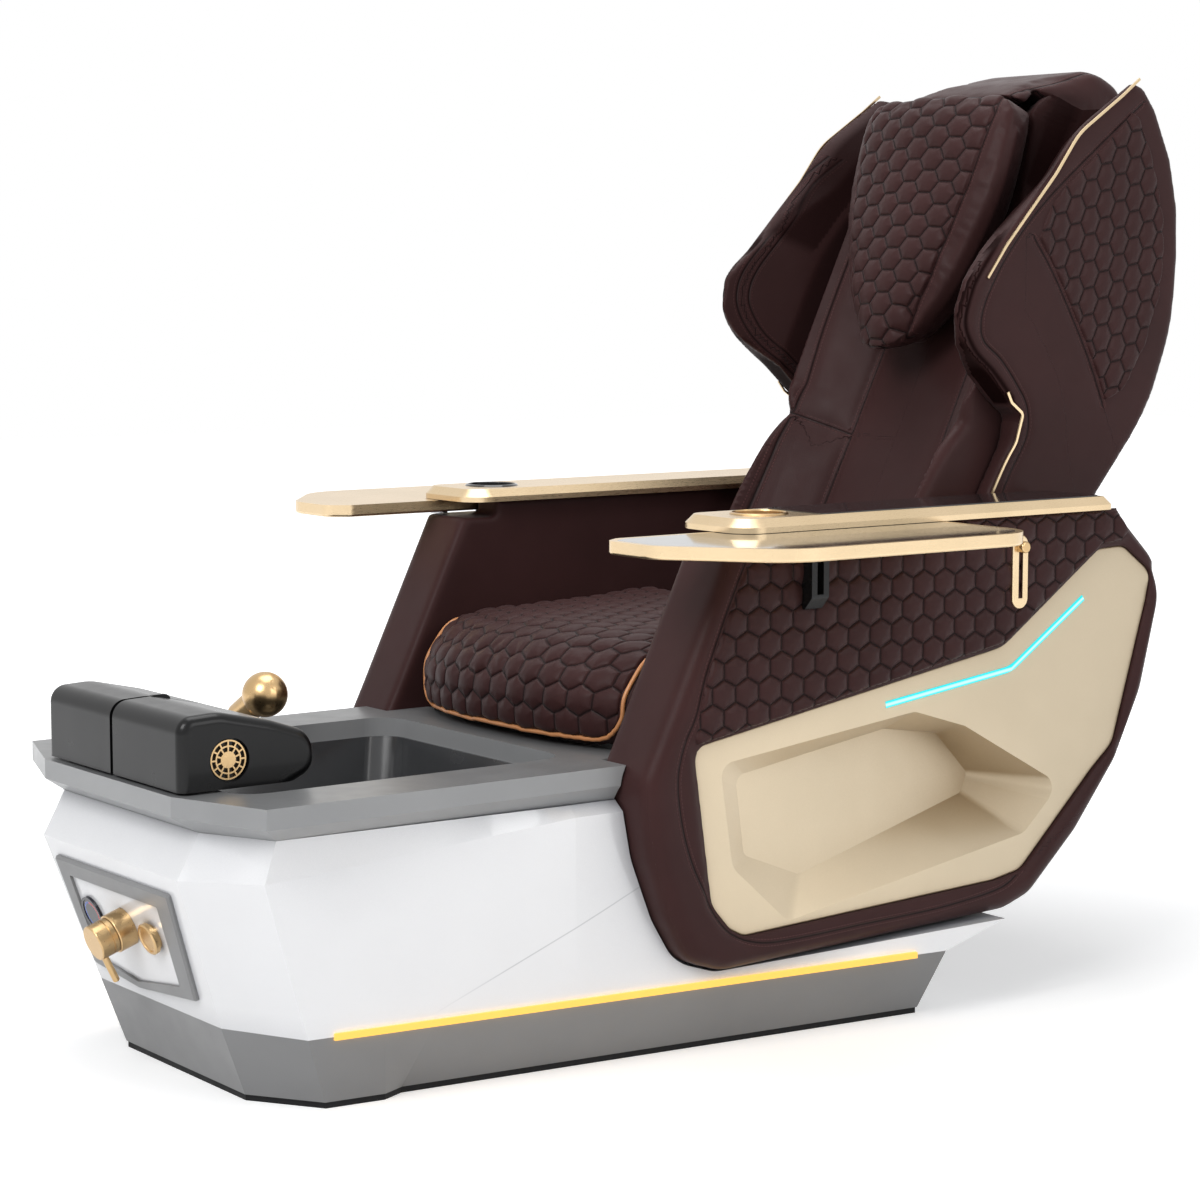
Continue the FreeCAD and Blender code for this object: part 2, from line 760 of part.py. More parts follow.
def make_jet():
    """Water jet: housing on the wall, a bladed impeller on its spindle and a slotted cover."""
    place = jet_place()
    radius = size("jet_radius")
    depth = size("jet_depth")
    fit = size("seat_fit")
    housing = Part.makeCylinder(radius, depth, Vec(0, 0, fit))
    housing = housing.cut(Part.makeCylinder(radius - 4, depth, Vec(0, 0, fit + 4)))
    spindle = Part.makeCylinder(4, depth - 8, Vec(0, 0, fit + 2))
    shaped("jet_housing", housing.fuse(spindle), place)
    hub = Part.makeCylinder(10, depth - 14, Vec(0, 0, 6))
    blade = Part.makeBox(size("impeller_radius") - 4, 2.4, depth - 16, Vec(4, -1.2, 7))
    for index in range(6):
        turned = blade.copy()
        turned.rotate(Vec(0, 0, 0), Vec(0, 0, 1), index * 60)
        hub = hub.fuse(turned)
    hub = hub.cut(Part.makeCylinder(4 + size("running_fit"), depth, Vec(0, 0, 0)))
    shaped("jet_impeller", hub.removeSplitter(), place)
    cover = Part.makeCylinder(radius + 3, 4, Vec(0, 0, depth + 2 * fit))
    collar = Part.makeCylinder(radius + 3, depth, Vec(0, 0, fit * 3)).cut(
        Part.makeCylinder(radius + fit, depth + 2, Vec(0, 0, 0)))
    cover = cover.fuse(collar)
    for index in range(10):
        slot = Part.makeBox(radius - 18, 5, 20, Vec(12, -2.5, depth - 6))
        slot.rotate(Vec(0, 0, 0), Vec(0, 0, 1), index * 36)
        cover = cover.cut(slot)
    shaped("jet_cover", cover.removeSplitter(), place)


def make_base_lights():
    bar = base_light_bar(0)
    shaped("base_light_left", bar)
    shaped("base_light_right", flip(bar))


# Control panel on the front face
FRAME_OUTER = [(-172, 81, 4), (165, 81, 4), (140, -86, 6), (-33, -104, 8), (-163, -90, 12)]
FRAME_INNER = [(-140, 56, 3), (121, 56, 3), (106, -70, 3), (-30, -91, 4), (-138, -76, 6)]


def make_controls():
    face = front_face()
    fit = size("seat_fit")
    depth = size("control_depth")
    outer = slab(FRAME_OUTER, "xy", 0, depth)
    outer = outer.makeChamfer(3.0, [edge for edge in outer.Edges if reaches(edge, 2, depth)])
    frame = outer.cut(slab(FRAME_INNER, "xy", -1, depth + 1))
    shaped("control_frame", frame, face)
    plate = slab(outset(FRAME_INNER, -fit), "xy", 0, size("plate_depth"))
    for x, radius in ((size("mixer_x"), 14), (size("button_x"), size("button_radius") - 5 + fit)):
        plate = plate.cut(Part.makeCylinder(radius, 20, Vec(x, 0, -5)))
    shaped("control_plate", plate, face)
    top = size("plate_depth")
    dial = Part.makeCylinder(size("disc_radius"), 4, Vec(size("disc_x"), 0, top + fit))
    ring = Part.makeCylinder(size("disc_radius") - 4, 2, Vec(size("disc_x"), 0, top + fit + 3))
    shaped("temperature_disc", dial.cut(ring), face)
    make_mixer(face, top)
    make_button(face, top)


def make_mixer(face, top):
    """Fixed barrel with a spigot through the plate, and a turning handle with its lever."""
    fit = size("seat_fit")
    x = size("mixer_x")
    radius = size("mixer_radius")
    length = size("mixer_base_length")
    turn = size("handle_radius")
    barrel = Part.makeCylinder(radius, length, Vec(x, 0, top + fit))
    barrel = soften(barrel, 2, lambda edge: reaches(edge, 2, top + fit + length))
    barrel = barrel.fuse(Part.makeCylinder(13.5, 60, Vec(x, 0, top + fit - 60)))
    barrel = barrel.fuse(Part.makeCylinder(9, length + 16, Vec(x, 0, top + fit)))
    shaped("mixer_body", barrel.removeSplitter(), face)
    low = top + 2 * fit + length + 0.4
    handle = Part.makeCylinder(turn, size("handle_length"), Vec(x, 0, low))
    groove = Part.makeCylinder(turn + 2, 1.6, Vec(x, 0, low + 7)).cut(
        Part.makeCylinder(turn - 1.4, 1.6, Vec(x, 0, low + 7)))
    handle = handle.cut(groove)
    handle = soften(handle, 2, lambda edge: reaches(edge, 2, low + size("handle_length")))
    lever_z = low + size("handle_length") - 9
    lever = Part.makeCylinder(size("lever_radius"), size("lever_length") + 6,
                              Vec(x, -turn + 6, lever_z), Vec(0, -1, -0.12))
    lever = soften(lever, 2, lambda edge: edge.BoundBox.YMax < -turn - 10)
    handle = handle.fuse(lever)
    bore = Part.makeCylinder(9 + size("running_fit"), 20, Vec(x, 0, low - 1))
    shaped("mixer_handle", handle.cut(bore).removeSplitter(), face)


def make_button(face, top):
    """Round diverter button: a dished head on a stem that slides through the plate."""
    body = new_body("button_solid")
    travel = "button_travel"
    profile = new_sketch(body, "XZ_Plane", "button_profile")
    low = "(plate_depth + " + travel + " + 1)"
    draw_polygon(profile, [("0", "-20"), ("button_radius - 5", "-20"), ("button_radius - 5", low),
                           ("button_radius", low), ("button_radius", low + " + 6"),
                           ("button_radius - 2", low + " + 8"), ("button_radius - 5", low + " + 8"),
                           ("button_radius - 6", low + " + 6.5"), ("0", low + " + 6.5")])
    revolve(body, profile)
    at(body, face.multiply(FreeCAD.Placement(Vec(size("button_x"), 0, 0), FreeCAD.Rotation())))
    keep(body, "diverter_button")


def make_spout():
    """Ball headed spout: a collar on the rim, and a swivel arm that leans over the basin."""
    base = Vec(size("spout_x"), size("spout_y"), size("rim_height"))
    fit = size("seat_fit")
    body = new_body("spout_base_solid")
    profile = new_sketch(body, "XZ_Plane", "spout_base_profile")
    draw_polygon(profile, [("0", "0"), ("spout_base_radius", "0"), ("spout_base_radius", "3"),
                           ("spout_arm_radius + 2", "spout_base_height"),
                           ("7", "spout_base_height"), ("7", "spout_base_height + spout_post_height"),
                           ("0", "spout_base_height + spout_post_height")])
    revolve(body, profile)
    at(body, FreeCAD.Placement(base, FreeCAD.Rotation()))
    keep(body, "spout_base")
    low = size("spout_base_height") + fit
    radius = size("spout_arm_radius")
    elbow = base + Vec(0, 0, low + 10)
    head = base + Vec(size("spout_reach_x"), size("spout_reach_y"), size("spout_rise"))
    arm = Part.makeCylinder(radius, 10, base + Vec(0, 0, low))
    arm = arm.fuse(Part.makeSphere(radius, elbow))
    arm = arm.cut(Part.makeBox(80, 80, 40, base + Vec(-40, -40, low - 40)))
    reach = head - elbow
    arm = arm.fuse(Part.makeCone(radius, radius + 3, reach.Length, elbow, reach))
    ball = Part.makeSphere(size("spout_head_radius"), head)
    arm = arm.cut(ball)
    arm = arm.cut(Part.makeBox(80, 80, 40, base + Vec(-40, -40, low - 40)))
    arm = arm.cut(Part.makeCylinder(7 + size("running_fit"), size("spout_post_height") + 2,
                                    base + Vec(0, 0, low - 1)))
    shaped("spout_arm", arm.removeSplitter())
    down = reach.normalize()
    outlet = Part.makeCylinder(9, 10, head + down * (size("spout_head_radius") - 6), down)
    shaped("spout_head", ball.cut(outlet))


# Footrest
def pad_profile():
    """Side view (y, z, radius) of a pad: upright front, domed top and a rounded nose."""
    front = size("pad_front_y")
    back = size("pad_back_y")
    low = size("rim_height") + size("pad_lift")
    high = low + size("pad_height")
    return [(front, low, 0), (front, high - 1, 24), (front + 62, high + 2, 90), (back - 62, high - 16, 120),
            (back + 2, high - 38, 38), (back + 4, high - 88, 30), (back - 24, low, 0)]


def make_footrest():
    """Two padded blocks on one shaft, with a round grille let into each outer end."""
    half_split = size("pad_split") / 2
    length = size("pad_length")
    pivot_y = size("pad_pivot_y")
    pivot_z = size("pad_pivot_height")
    fit = size("seat_fit")
    block = slab(pad_profile(), "yz", half_split, half_split + length)
    block = soften(block, size("pad_end_radius"), lambda edge: reaches(edge, 0, half_split + length)
                   and not along(edge, 1))
    recess = Part.makeCylinder(size("grille_radius") + 3, size("grille_depth") + 3,
                               Vec(half_split + length - size("grille_depth") - 3, pivot_y, pivot_z),
                               Vec(1, 0, 0))
    bore = Part.makeCylinder(size("shaft_radius") + size("running_fit"), length,
                             Vec(half_split - 1, pivot_y, pivot_z), Vec(1, 0, 0))
    block = block.cut(recess).cut(bore)
    shaped("footrest_pad_left", block)
    shaped("footrest_pad_right", flip(block))
    end = half_split + length - size("grille_depth") - 3 + fit
    grille = rosette()
    grille.Placement = FreeCAD.Placement(Vec(end, pivot_y, pivot_z), FreeCAD.Rotation(Vec(0, 1, 0), 90))
    shaped("footrest_grilles", group([grille, flip(grille)]))
    shaft_end = half_split + length - size("grille_depth") - 6
    shaft = Part.makeCylinder(size("shaft_radius"), 2 * shaft_end, Vec(-shaft_end, pivot_y, pivot_z),
                              Vec(1, 0, 0))
    shaped("footrest_shaft", shaft)
    plate = half_split - 1.2
    top = size("rim_height") + size("pad_lift") + size("pad_height")
    shelf = size("basin_front_y") - 4
    web = [(shelf - 50, size("rim_height"), 0), (pivot_y - 30, pivot_z + 14, 40), (pivot_y - 16, top + 3, 10),
           (pivot_y + 16, top + 3, 10), (pivot_y + 22, pivot_z - 8, 20), (shelf, size("rim_height"), 0)]
    lug = slab(web, "yz", -plate, plate)
    foot = Part.makeBox(60, 46, size("pad_lift") - 1, Vec(-30, shelf - 50, size("rim_height")))
    lug = lug.fuse(foot).cut(Part.makeCylinder(size("shaft_radius"), 20, Vec(-10, pivot_y, pivot_z),
                                               Vec(1, 0, 0)))
    shaped("footrest_bracket", lug.removeSplitter())


def rosette():
    """Round pierced grille: a rim, a centre boss and two rings of openings between spokes."""
    radius = size("grille_radius")
    depth = size("grille_depth") - 1
    disc = Part.makeCylinder(radius, depth)
    for count, inner, outer in ((12, 0.72, 0.92), (10, 0.42, 0.64)):
        share = 360.0 / count
        ring = Part.makeCylinder(radius * outer, depth + 2, Vec(0, 0, -1)).cut(
            Part.makeCylinder(radius * inner, depth + 2, Vec(0, 0, -1)))
        for index in range(count):
            spoke = Part.makeBox(radius, 2.2, depth + 2, Vec(0, -1.1, -1))
            spoke.rotate(Vec(0, 0, 0), Vec(0, 0, 1), index * share)
            ring = ring.cut(spoke)
        disc = disc.cut(ring)
    return disc.removeSplitter()


# Side panels with the gold insert, its niche and its light
INSERT = [(60, 456, 20), (655, 554, 60), (858, 692, 24), (915, 694, 30), (979, 648, 26), (969, 604, 80),
          (900, 382, 40), (853, 344, 40), (703, 204, 40), (645, 194, 60), (155, 174, 30), (128, 188, 30),
          (93, 228, 40)]
NICHE_MOUTH = [(111, 427, 22), (481, 470, 30), (583, 439, 40), (786, 329, 24), (710, 261, 30),
               (238, 185, 30), (135, 276, 30)]
NICHE_BACK = [(150, 405, 16), (470, 438, 20), (592, 418, 20), (668, 347, 12), (652, 318, 12),
              (285, 243, 20), (168, 288, 16)]
LIGHT_ROUTE = [(423, 485, 0), (677, 518, 60), (829, 617, 0)]


def make_panels():
    low = size("panel_inner")
    high = size("panel_outer")
    face = size("insert_face")
    board = slab(panel_outline(), "yz", low, high)
    board = soften(board, size("panel_edge_radius"), lambda edge: reaches(edge, 0, high)
                   and edge.BoundBox.ZMin < size("arm_height") - 1)
    board = soften(board, size("panel_back_radius"), lambda edge: reaches(edge, 0, low)
                   and edge.BoundBox.ZMin < size("arm_height") - 1)
    shelf = size("arm_height") + size("seat_fit") - size("tray_gap") - size("tray_thickness")
    shelf = shelf - size("tray_shelf_gap")
    outer_cut = Part.makeBox(high, size("tray_shelf_y") + 500, 200,
                             Vec(size("tray_inner") - 5, -500, shelf))
    strip_start = size("tray_pin_y") + size("tray_pin_x") - size("tray_inner") + 8
    front_cut = Part.makeBox(high, strip_start + 500, 200, Vec(low - 1, -500, shelf))
    board = board.cut(outer_cut).cut(front_cut)
    ledge = face - size("insert_skirt")
    board = board.cut(slab(outset(INSERT, size("seat_fit")), "yz", ledge, high + 1))
    board = board.cut(slab(outset(NICHE_MOUTH, 8), "yz", face - size("niche_depth") - 12, ledge + 1))
    left = shaped("panel_left", board)
    mirrored("panel_right", left)


def niche_back(across, up, level):
    """A point on the niche's back, which goes deeper towards the rear."""
    start = NICHE_MOUTH[0][0]
    run = NICHE_BACK[3][0] - start
    return Vec(level - size("niche_depth") * (0.1 + 0.9 * (across - start) / run), across, up)


def make_inserts():
    face = size("insert_face")
    wall = size("insert_wall")
    deep = face - size("insert_skirt")
    plate = slab(INSERT, "yz", deep, face)
    plate = soften(plate, 3, lambda edge: reaches(edge, 0, face))
    plate = plate.cut(slab(outset(INSERT, -wall), "yz", deep - 1, face - wall))
    pan = loft([rounded(outset(NICHE_MOUTH, wall), "yz", face - wall / 2),
                rounded(outset(NICHE_BACK, wall), niche_back, face - wall)])
    room = loft([rounded(NICHE_MOUTH, "yz", face), rounded(NICHE_BACK, niche_back, face)])
    groove = slab(band(LIGHT_ROUTE, size("side_light_width")), "yz", face - wall + 1, face + 1)
    moulding = plate.fuse(pan).cut(room).cut(groove)
    left = shaped("insert_left", moulding)
    mirrored("insert_right", left)
    strip = slab(band(LIGHT_ROUTE, size("side_light_width") - 2 * size("seat_fit")), "yz",
                 face - wall + 1, face + size("side_light_proud"))
    strip = soften(strip, 1, lambda edge: reaches(edge, 0, face + size("side_light_proud")))
    light = shaped("side_light_left", strip)
    mirrored("side_light_right", light)


def make_armrests():
    """Bevelled cap over each panel, with a hole for the cup ring and a socket for the tray's pin."""
    low = "(arm_height + seat_fit)"
    high = "(arm_height + seat_fit + cap_thickness)"
    body = new_body("armrest_solid")
    plan = new_sketch(body, "XY_Plane", "cap_plan", low)
    draw_polygon(plan, [("cap_inner", "cap_front_y"), ("cap_outer", "cap_front_y"),
                        ("cap_outer", "cap_back_y"), ("cap_inner", "cap_back_y")])
    pad(body, plan, "cap_thickness")
    dress(body, "Fillet", lambda edge: along(edge, 2) and edge.BoundBox.YMax < size("cap_front_y") + 1,
          "cap_bevel + 30")
    dress(body, "Fillet", lambda edge: along(edge, 2) and edge.BoundBox.YMin > size("cap_back_y") - 1,
          "cap_bevel + 4")
    top = size("arm_height") + size("seat_fit") + size("cap_thickness")
    dress(body, "Chamfer", lambda edge: reaches(edge, 2, top), "cap_bevel")
    cup = new_sketch(body, "XY_Plane", "cup_hole", high)
    draw_circle(cup, "cup_x", "cup_y", "cup_radius + cup_wall + seat_fit")
    pocket(body, cup, "cup_depth + 2 + seat_fit")
    socket = new_sketch(body, "XY_Plane", "pin_socket", low)
    draw_circle(socket, "tray_pin_x", "tray_pin_y", "tray_pin_radius")
    pocket(body, socket, "pin_socket_depth", True)
    keep(body, "armrest_left")
    mirrored("armrest_right", body)
    inlay = new_body("inlay_solid")
    outline = new_sketch(inlay, "XY_Plane", "inlay_plan", high)
    draw_box(outline, "cap_inner + cap_bevel + 4", "cap_outer - cap_bevel - 4",
             "cup_y + cup_radius + 24", "cap_back_y - cap_bevel - 4")
    pad(inlay, outline, "inlay_thickness")
    dress(inlay, "Fillet", lambda edge: along(edge, 2), "12")
    keep(inlay, "armrest_inlay_left")


def make_cup_holders():
    """Turned cup ring that hangs in the armrest by its flange."""
    body = new_body("cup_solid")
    outer = "cup_radius + cup_wall"
    profile = new_sketch(body, "XZ_Plane", "cup_profile", "0")
    draw_polygon(profile, [("0", "-cup_depth - 2"), (outer, "-cup_depth - 2"), (outer, "seat_fit"),
                           ("cup_radius + cup_ring + 2", "seat_fit"), ("cup_radius + cup_ring", "2.5"),
                           ("cup_radius + 1", "3"), ("cup_radius", "1"), ("cup_radius", "-cup_depth"),
                           ("0", "-cup_depth")])
    revolve(body, profile)
    top = size("arm_height") + size("seat_fit") + size("cap_thickness")
    at(body, FreeCAD.Placement(Vec(size("cup_x"), size("cup_y"), top), FreeCAD.Rotation()))
    keep(body, "cup_holder_left")
    mirrored("cup_holder_right", body)


# Trays that swing outward from under the armrests
def tray_plan():
    front = size("tray_front_y")
    back = size("tray_back_y")
    inner = size("tray_inner")
    outer = size("tray_outer")
    return [(inner, front + 32, 20), (inner + 22, front, 25), (inner + 120, front, 60),
            (outer, front + 122, 110), (outer, back, 70), (inner, back, 40)]


def make_trays():
    top = size("arm_height") + size("seat_fit") - size("tray_gap")
    bottom = top - size("tray_thickness")
    board = slab(tray_plan(), "xy", bottom, top)
    board = soften(board, 4, lambda edge: reaches(edge, 2, bottom))
    hole = Part.makeCylinder(size("tray_pin_radius") + size("running_fit"), size("tray_thickness") + 2,
                             Vec(size("tray_pin_x"), size("tray_pin_y"), bottom - 1))
    board = board.cut(hole)
    right = shaped("tray_right", flip(board))
    inset = outset(tray_plan(), -size("tray_rim"))
    collar = Part.makeCylinder(size("tray_pin_radius") + 6, 40,
                               Vec(size("tray_pin_x"), size("tray_pin_y"), bottom - 10))
    recess = slab(inset, "xy", top - size("tray_top_depth"), top + 1).cut(collar)
    shaped("tray_left", board.cut(recess))
    fit = size("seat_fit")
    collar_room = Part.makeCylinder(size("tray_pin_radius") + 6 + fit, 40,
                                    Vec(size("tray_pin_x"), size("tray_pin_y"), bottom - 10))
    top_sheet = slab(outset(inset, -fit), "xy", top - size("tray_top_depth"), top)
    shaped("tray_top_left", top_sheet.cut(collar_room))
    head = Part.makeCylinder(size("tray_pin_radius") * 2, 4, Vec(0, 0, bottom - size("tray_gap") - 4))
    pin = Part.makeCylinder(size("tray_pin_radius"),
                            top + size("tray_gap") + size("pin_socket_depth") - head.BoundBox.ZMin,
                            Vec(0, 0, head.BoundBox.ZMin))
    pin = pin.fuse(head)
    pin.translate(Vec(size("tray_pin_x"), size("tray_pin_y"), 0))
    shaped("tray_pins", group([pin, flip(pin)]))
    return right


def make_tray_supports():
    """Twin post bracket on the panel's outer face, just under the tray."""
    top = size("arm_height") + size("seat_fit") - 2 * size("tray_gap") - size("tray_thickness")
    low = top - size("support_height")
    near = size("panel_outer")
    far = near + size("support_depth")
    start = size("support_y") - size("support_width") / 2
    side = [(near, low, 0), (near + 8, low, 2), (far, low + 18, 6), (far, top, 0), (near, top, 0)]
    post = slab(side, "xz", start, start + size("support_width"))
    gap = size("support_width") - 20
    window = Part.makeBox(100, gap, size("support_height") - 34,
                          Vec(near + 6, size("support_y") - gap / 2, low + 22))
    post = post.cut(window)
    left = shaped("tray_support_left", post)
    mirrored("tray_support_right", left)


def make_releases():
    """Slotted plate on each panel, and the headed knob that slides in it."""
    near = size("panel_outer")
    far = near + size("slot_plate_depth")
    half = size("slot_plate_width") / 2
    y = size("slot_y")
    low = size("arm_height") - size("slot_bottom")
    high = low + size("slot_length")
    round_end = half - 0.1
    outline = [(y - half, low, round_end), (y + half, low, round_end), (y + half, high, round_end),
               (y - half, high, round_end)]
    plate = slab(outline, "yz", near, far)
    plate = soften(plate, 2, lambda edge: reaches(edge, 0, far))
    shank = size("knob_shank")
    stop = shank + size("seat_fit")
    rest = high - half - 2
    end = rest - size("knob_travel")
    slot = band([(y, end - stop, 0), (y, rest + stop, 0)], 2 * stop)
    flange = shank + 3
    back = band([(y, end - flange - 1, 0), (y, rest + flange + 1, 0)], 2 * flange + 2)
    plate = plate.cut(slab(slot, "yz", near - 1, far + 1)).cut(slab(back, "yz", near - 1, near + 5))
    left = shaped("release_plate_left", plate)
    mirrored("release_plate_right", left)
    knob = Part.makeCylinder(flange, 3, Vec(near + 1.2, y, rest), Vec(1, 0, 0))
    knob = knob.fuse(Part.makeCylinder(shank, far - near + 4, Vec(near + 1.2, y, rest), Vec(1, 0, 0)))
    head = Part.makeCylinder(size("knob_radius"), 12, Vec(far + size("seat_fit"), y, rest), Vec(1, 0, 0))
    head = soften(head, 3, lambda edge: reaches(edge, 0, far + size("seat_fit") + 12))
    knob_left = shaped("release_knob_left", knob.fuse(head).removeSplitter())
    mirrored("release_knob_right", knob_left)


# Seat
def make_seat():
    pan = new_body("seat_pan_solid")
    low = "(rim_height + seat_fit)"
    plan = new_sketch(pan, "XY_Plane", "pan_plan", low)
    draw_box(plan, "-seat_half + 14", "seat_half - 14", "seat_front_y + 66", "seat_back_y - 8")
    pad(pan, plan, "seat_pan_thickness")
    dress(pan, "Fillet", lambda edge: along(edge, 2), "30")
    keep(pan, "seat_pan")
    half = size("seat_half")
    roll = size("seat_edge_draw")
    turns = [math.radians(angle) for angle in (0, 25, 50, 70, 90)]
    stations = [half - roll + roll * math.cos(turn) for turn in turns]
    stations += [half * share for share in (0.75, 0.5, 0.25)]
    stations = [-x for x in stations] + [0] + stations[::-1]
    wires = []
    for x in stations:
        past = max(abs(x) - (half - roll), 0) / roll
        draw = roll * (1 - math.sqrt(1 - past ** 2))
        rise = size("seat_crown") * (1 - (x / half) ** 2)
        front = size("seat_front_y") + size("seat_front_bow") * (abs(x) / half) ** 3
        wires.append(rounded(outset(seat_profile(front, rise), -draw), "yz", x))
    shaped("seat_cushion", loft(wires))


def seat_profile(front, rise):
    """Side view (y, z, radius) of the seat cushion, with its top raised by the crown."""
    back = size("seat_back_y")
    low = size("rim_height") + size("seat_pan_thickness") + 2 * size("seat_fit")
    high = size("seat_height")
    thick = high - low
    return [(front, low, 17), (front - 1, low + 0.45 * thick, 0.33 * thick),
            (front + 42, high - 0.14 * thick, 0.33 * thick), (front + 120, high - 0.07 * thick + rise, 120),
            (back, high + 7 + rise * 0.4, 24), (back, low, 17)]


# Backrest, in its own upright frame: X across, Y to the rear (depth) and Z up the back (rise)
def back_place():
    return FreeCAD.Placement(Vec(0, size("back_foot_y"), size("rim_height") + size("back_foot_z")),
                             FreeCAD.Rotation(Vec(1, 0, 0), -size("back_lean")))


def hinge_spot():
    """The recline axis in the world."""
    return back_place().multVec(Vec(0, size("hinge_depth"), size("hinge_rise")))


def make_hinges():
    """Pivot brackets on the deck, the pins through them, and the frame's drilled ears."""
    axis = hinge_spot()
    radius = size("hinge_radius")
    near = size("hinge_inner") + size("hinge_plate") + 2
    far = near + size("hinge_plate") + 2
    deck = size("rim_height")
    cheek = [(axis.y - 26, deck, 0), (axis.y - 18, axis.z + 4, 14), (axis.y - 10, axis.z + 18, 12),
             (axis.y + 10, axis.z + 18, 12), (axis.y + 18, axis.z + 4, 14), (axis.y + 22, deck, 0)]
    plate = slab(cheek, "yz", near, far)
    foot = Part.makeBox(34, 48, 5, Vec(near, axis.y - 26, deck))
    bore = Part.makeCylinder(radius, 60, Vec(near - 10, axis.y, axis.z), Vec(1, 0, 0))
    bracket = plate.fuse(foot).cut(bore).removeSplitter()
    shaped("hinge_brackets", group([bracket, flip(bracket)]))
    pin = Part.makeCylinder(radius, far + 4 - size("hinge_inner") + 3,
                            Vec(size("hinge_inner") - 3, axis.y, axis.z), Vec(1, 0, 0))
    head = Part.makeCylinder(radius + 3, 4, Vec(far + size("seat_fit"), axis.y, axis.z), Vec(1, 0, 0))
    pin = pin.fuse(head).removeSplitter()
    shaped("hinge_pins", group([pin, flip(pin)]))


def make_back_frame():
    half = size("hinge_inner")
    depth = size("back_frame_depth")
    thick = size("back_frame_thickness")
    plate = slab([(-half, 20, 0), (half, 20, 0), (half, 900, 60), (-half, 900, 60)],
                 "xz", depth, depth + thick)
    pitch = 210
    for row in range(4):
        low = 55 + row * pitch
        window = slab([(22, low, 30), (half - 30, low, 30), (half - 30, low + pitch - 40, 30),
                       (22, low + pitch - 40, 30)], "xz", depth - 1, depth + thick + 1)
        plate = plate.cut(window).cut(flip(window))
    axis_t = size("hinge_depth")
    axis_s = size("hinge_rise")
    ear = slab([(axis_t - 15, axis_s - 15, 13), (axis_t + 16, axis_s - 15, 13), (depth + thick, 10, 10),
                (depth + thick, 130, 0), (depth, 130, 0), (depth, axis_s + 17, 3),
                (axis_t - 15, axis_s + 15, 12)],
               "yz", half, half + size("hinge_plate"))
    for side in (ear, flip(ear)):
        plate = plate.fuse(side)
    bore = Part.makeCylinder(size("hinge_radius") + size("running_fit"), 600, Vec(-300, axis_t, axis_s),
                             Vec(1, 0, 0))
    shaped("back_frame", plate.cut(bore).removeSplitter(), back_place())


def shell_side(grow=0.0):
    """Side view (depth, rise, radius) of the back shell."""
    front = size("back_frame_depth") + size("back_frame_thickness") + size("seat_fit")
    return [(front, 0, 6), (230, 20, 60), (302, 78, 60), (328, 250, 300), (340, 520, 400), (326, 700, 300),
            (287, 801, 120), (250, 872, 80), (199, 935, 60), (186, size("back_top"), 4),
            (front, size("back_top"), 0)]


def make_back_shell():
    half = size("back_half")
    wall = size("back_shell_wall")
    outer = slab(shell_side(), "yz", -half, half)
    room = outset(shell_side(), -wall)
    front = size("back_frame_depth") + size("back_frame_thickness")
    room = [(front - 1 if across < front + wall + 2 else across, up, radius) for across, up, radius in room]
    inner = slab(room, "yz", -half + wall, half - wall)
    shaped("back_shell", outer.cut(inner), back_place())


def cushion_section(rise, half, rear, bolster, groove, centre):
    """Plan outline of the back cushion: two bolsters with a centre panel set between two seams."""
    seam = size("cushion_seam")
    crown = half - 26
    round_off = min(24, (rear - bolster) * 0.4)

    def spot(across, depth):
        return Vec(across, depth, rise)

    mid_x = (crown + seam) / 2
    mid_t = (bolster + groove) / 2
    points = [
        ("line", spot(-half + 10, rear), spot(half - 10, rear)),
        ("arc", spot(half - 10, rear), spot(half - 2, rear - 4), spot(half, rear - 14)),
        ("line", spot(half, rear - 14), spot(half, bolster + round_off)),
        ("arc", spot(half, bolster + round_off), spot(half - 7, bolster + round_off * 0.25),
         spot(crown, bolster)),
        ("arc", spot(crown, bolster), spot(mid_x - 5, mid_t - 9), spot(seam, groove)),
        ("arc", spot(seam, groove), spot(0, centre), spot(-seam, groove)),
        ("arc", spot(-seam, groove), spot(-mid_x + 5, mid_t - 9), spot(-crown, bolster)),
        ("arc", spot(-crown, bolster), spot(-half + 7, bolster + round_off * 0.25),
         spot(-half, bolster + round_off)),
        ("line", spot(-half, bolster + round_off), spot(-half, rear - 14)),
        ("arc", spot(-half, rear - 14), spot(-half + 2, rear - 4), spot(-half + 10, rear)),
    ]
    edges = []
    for kind, *spots in points:
        if kind == "line":
            edges.append(Part.LineSegment(*spots).toShape())
        else:
            edges.append(Part.Arc(*spots).toShape())
    return Part.Wire(edges)


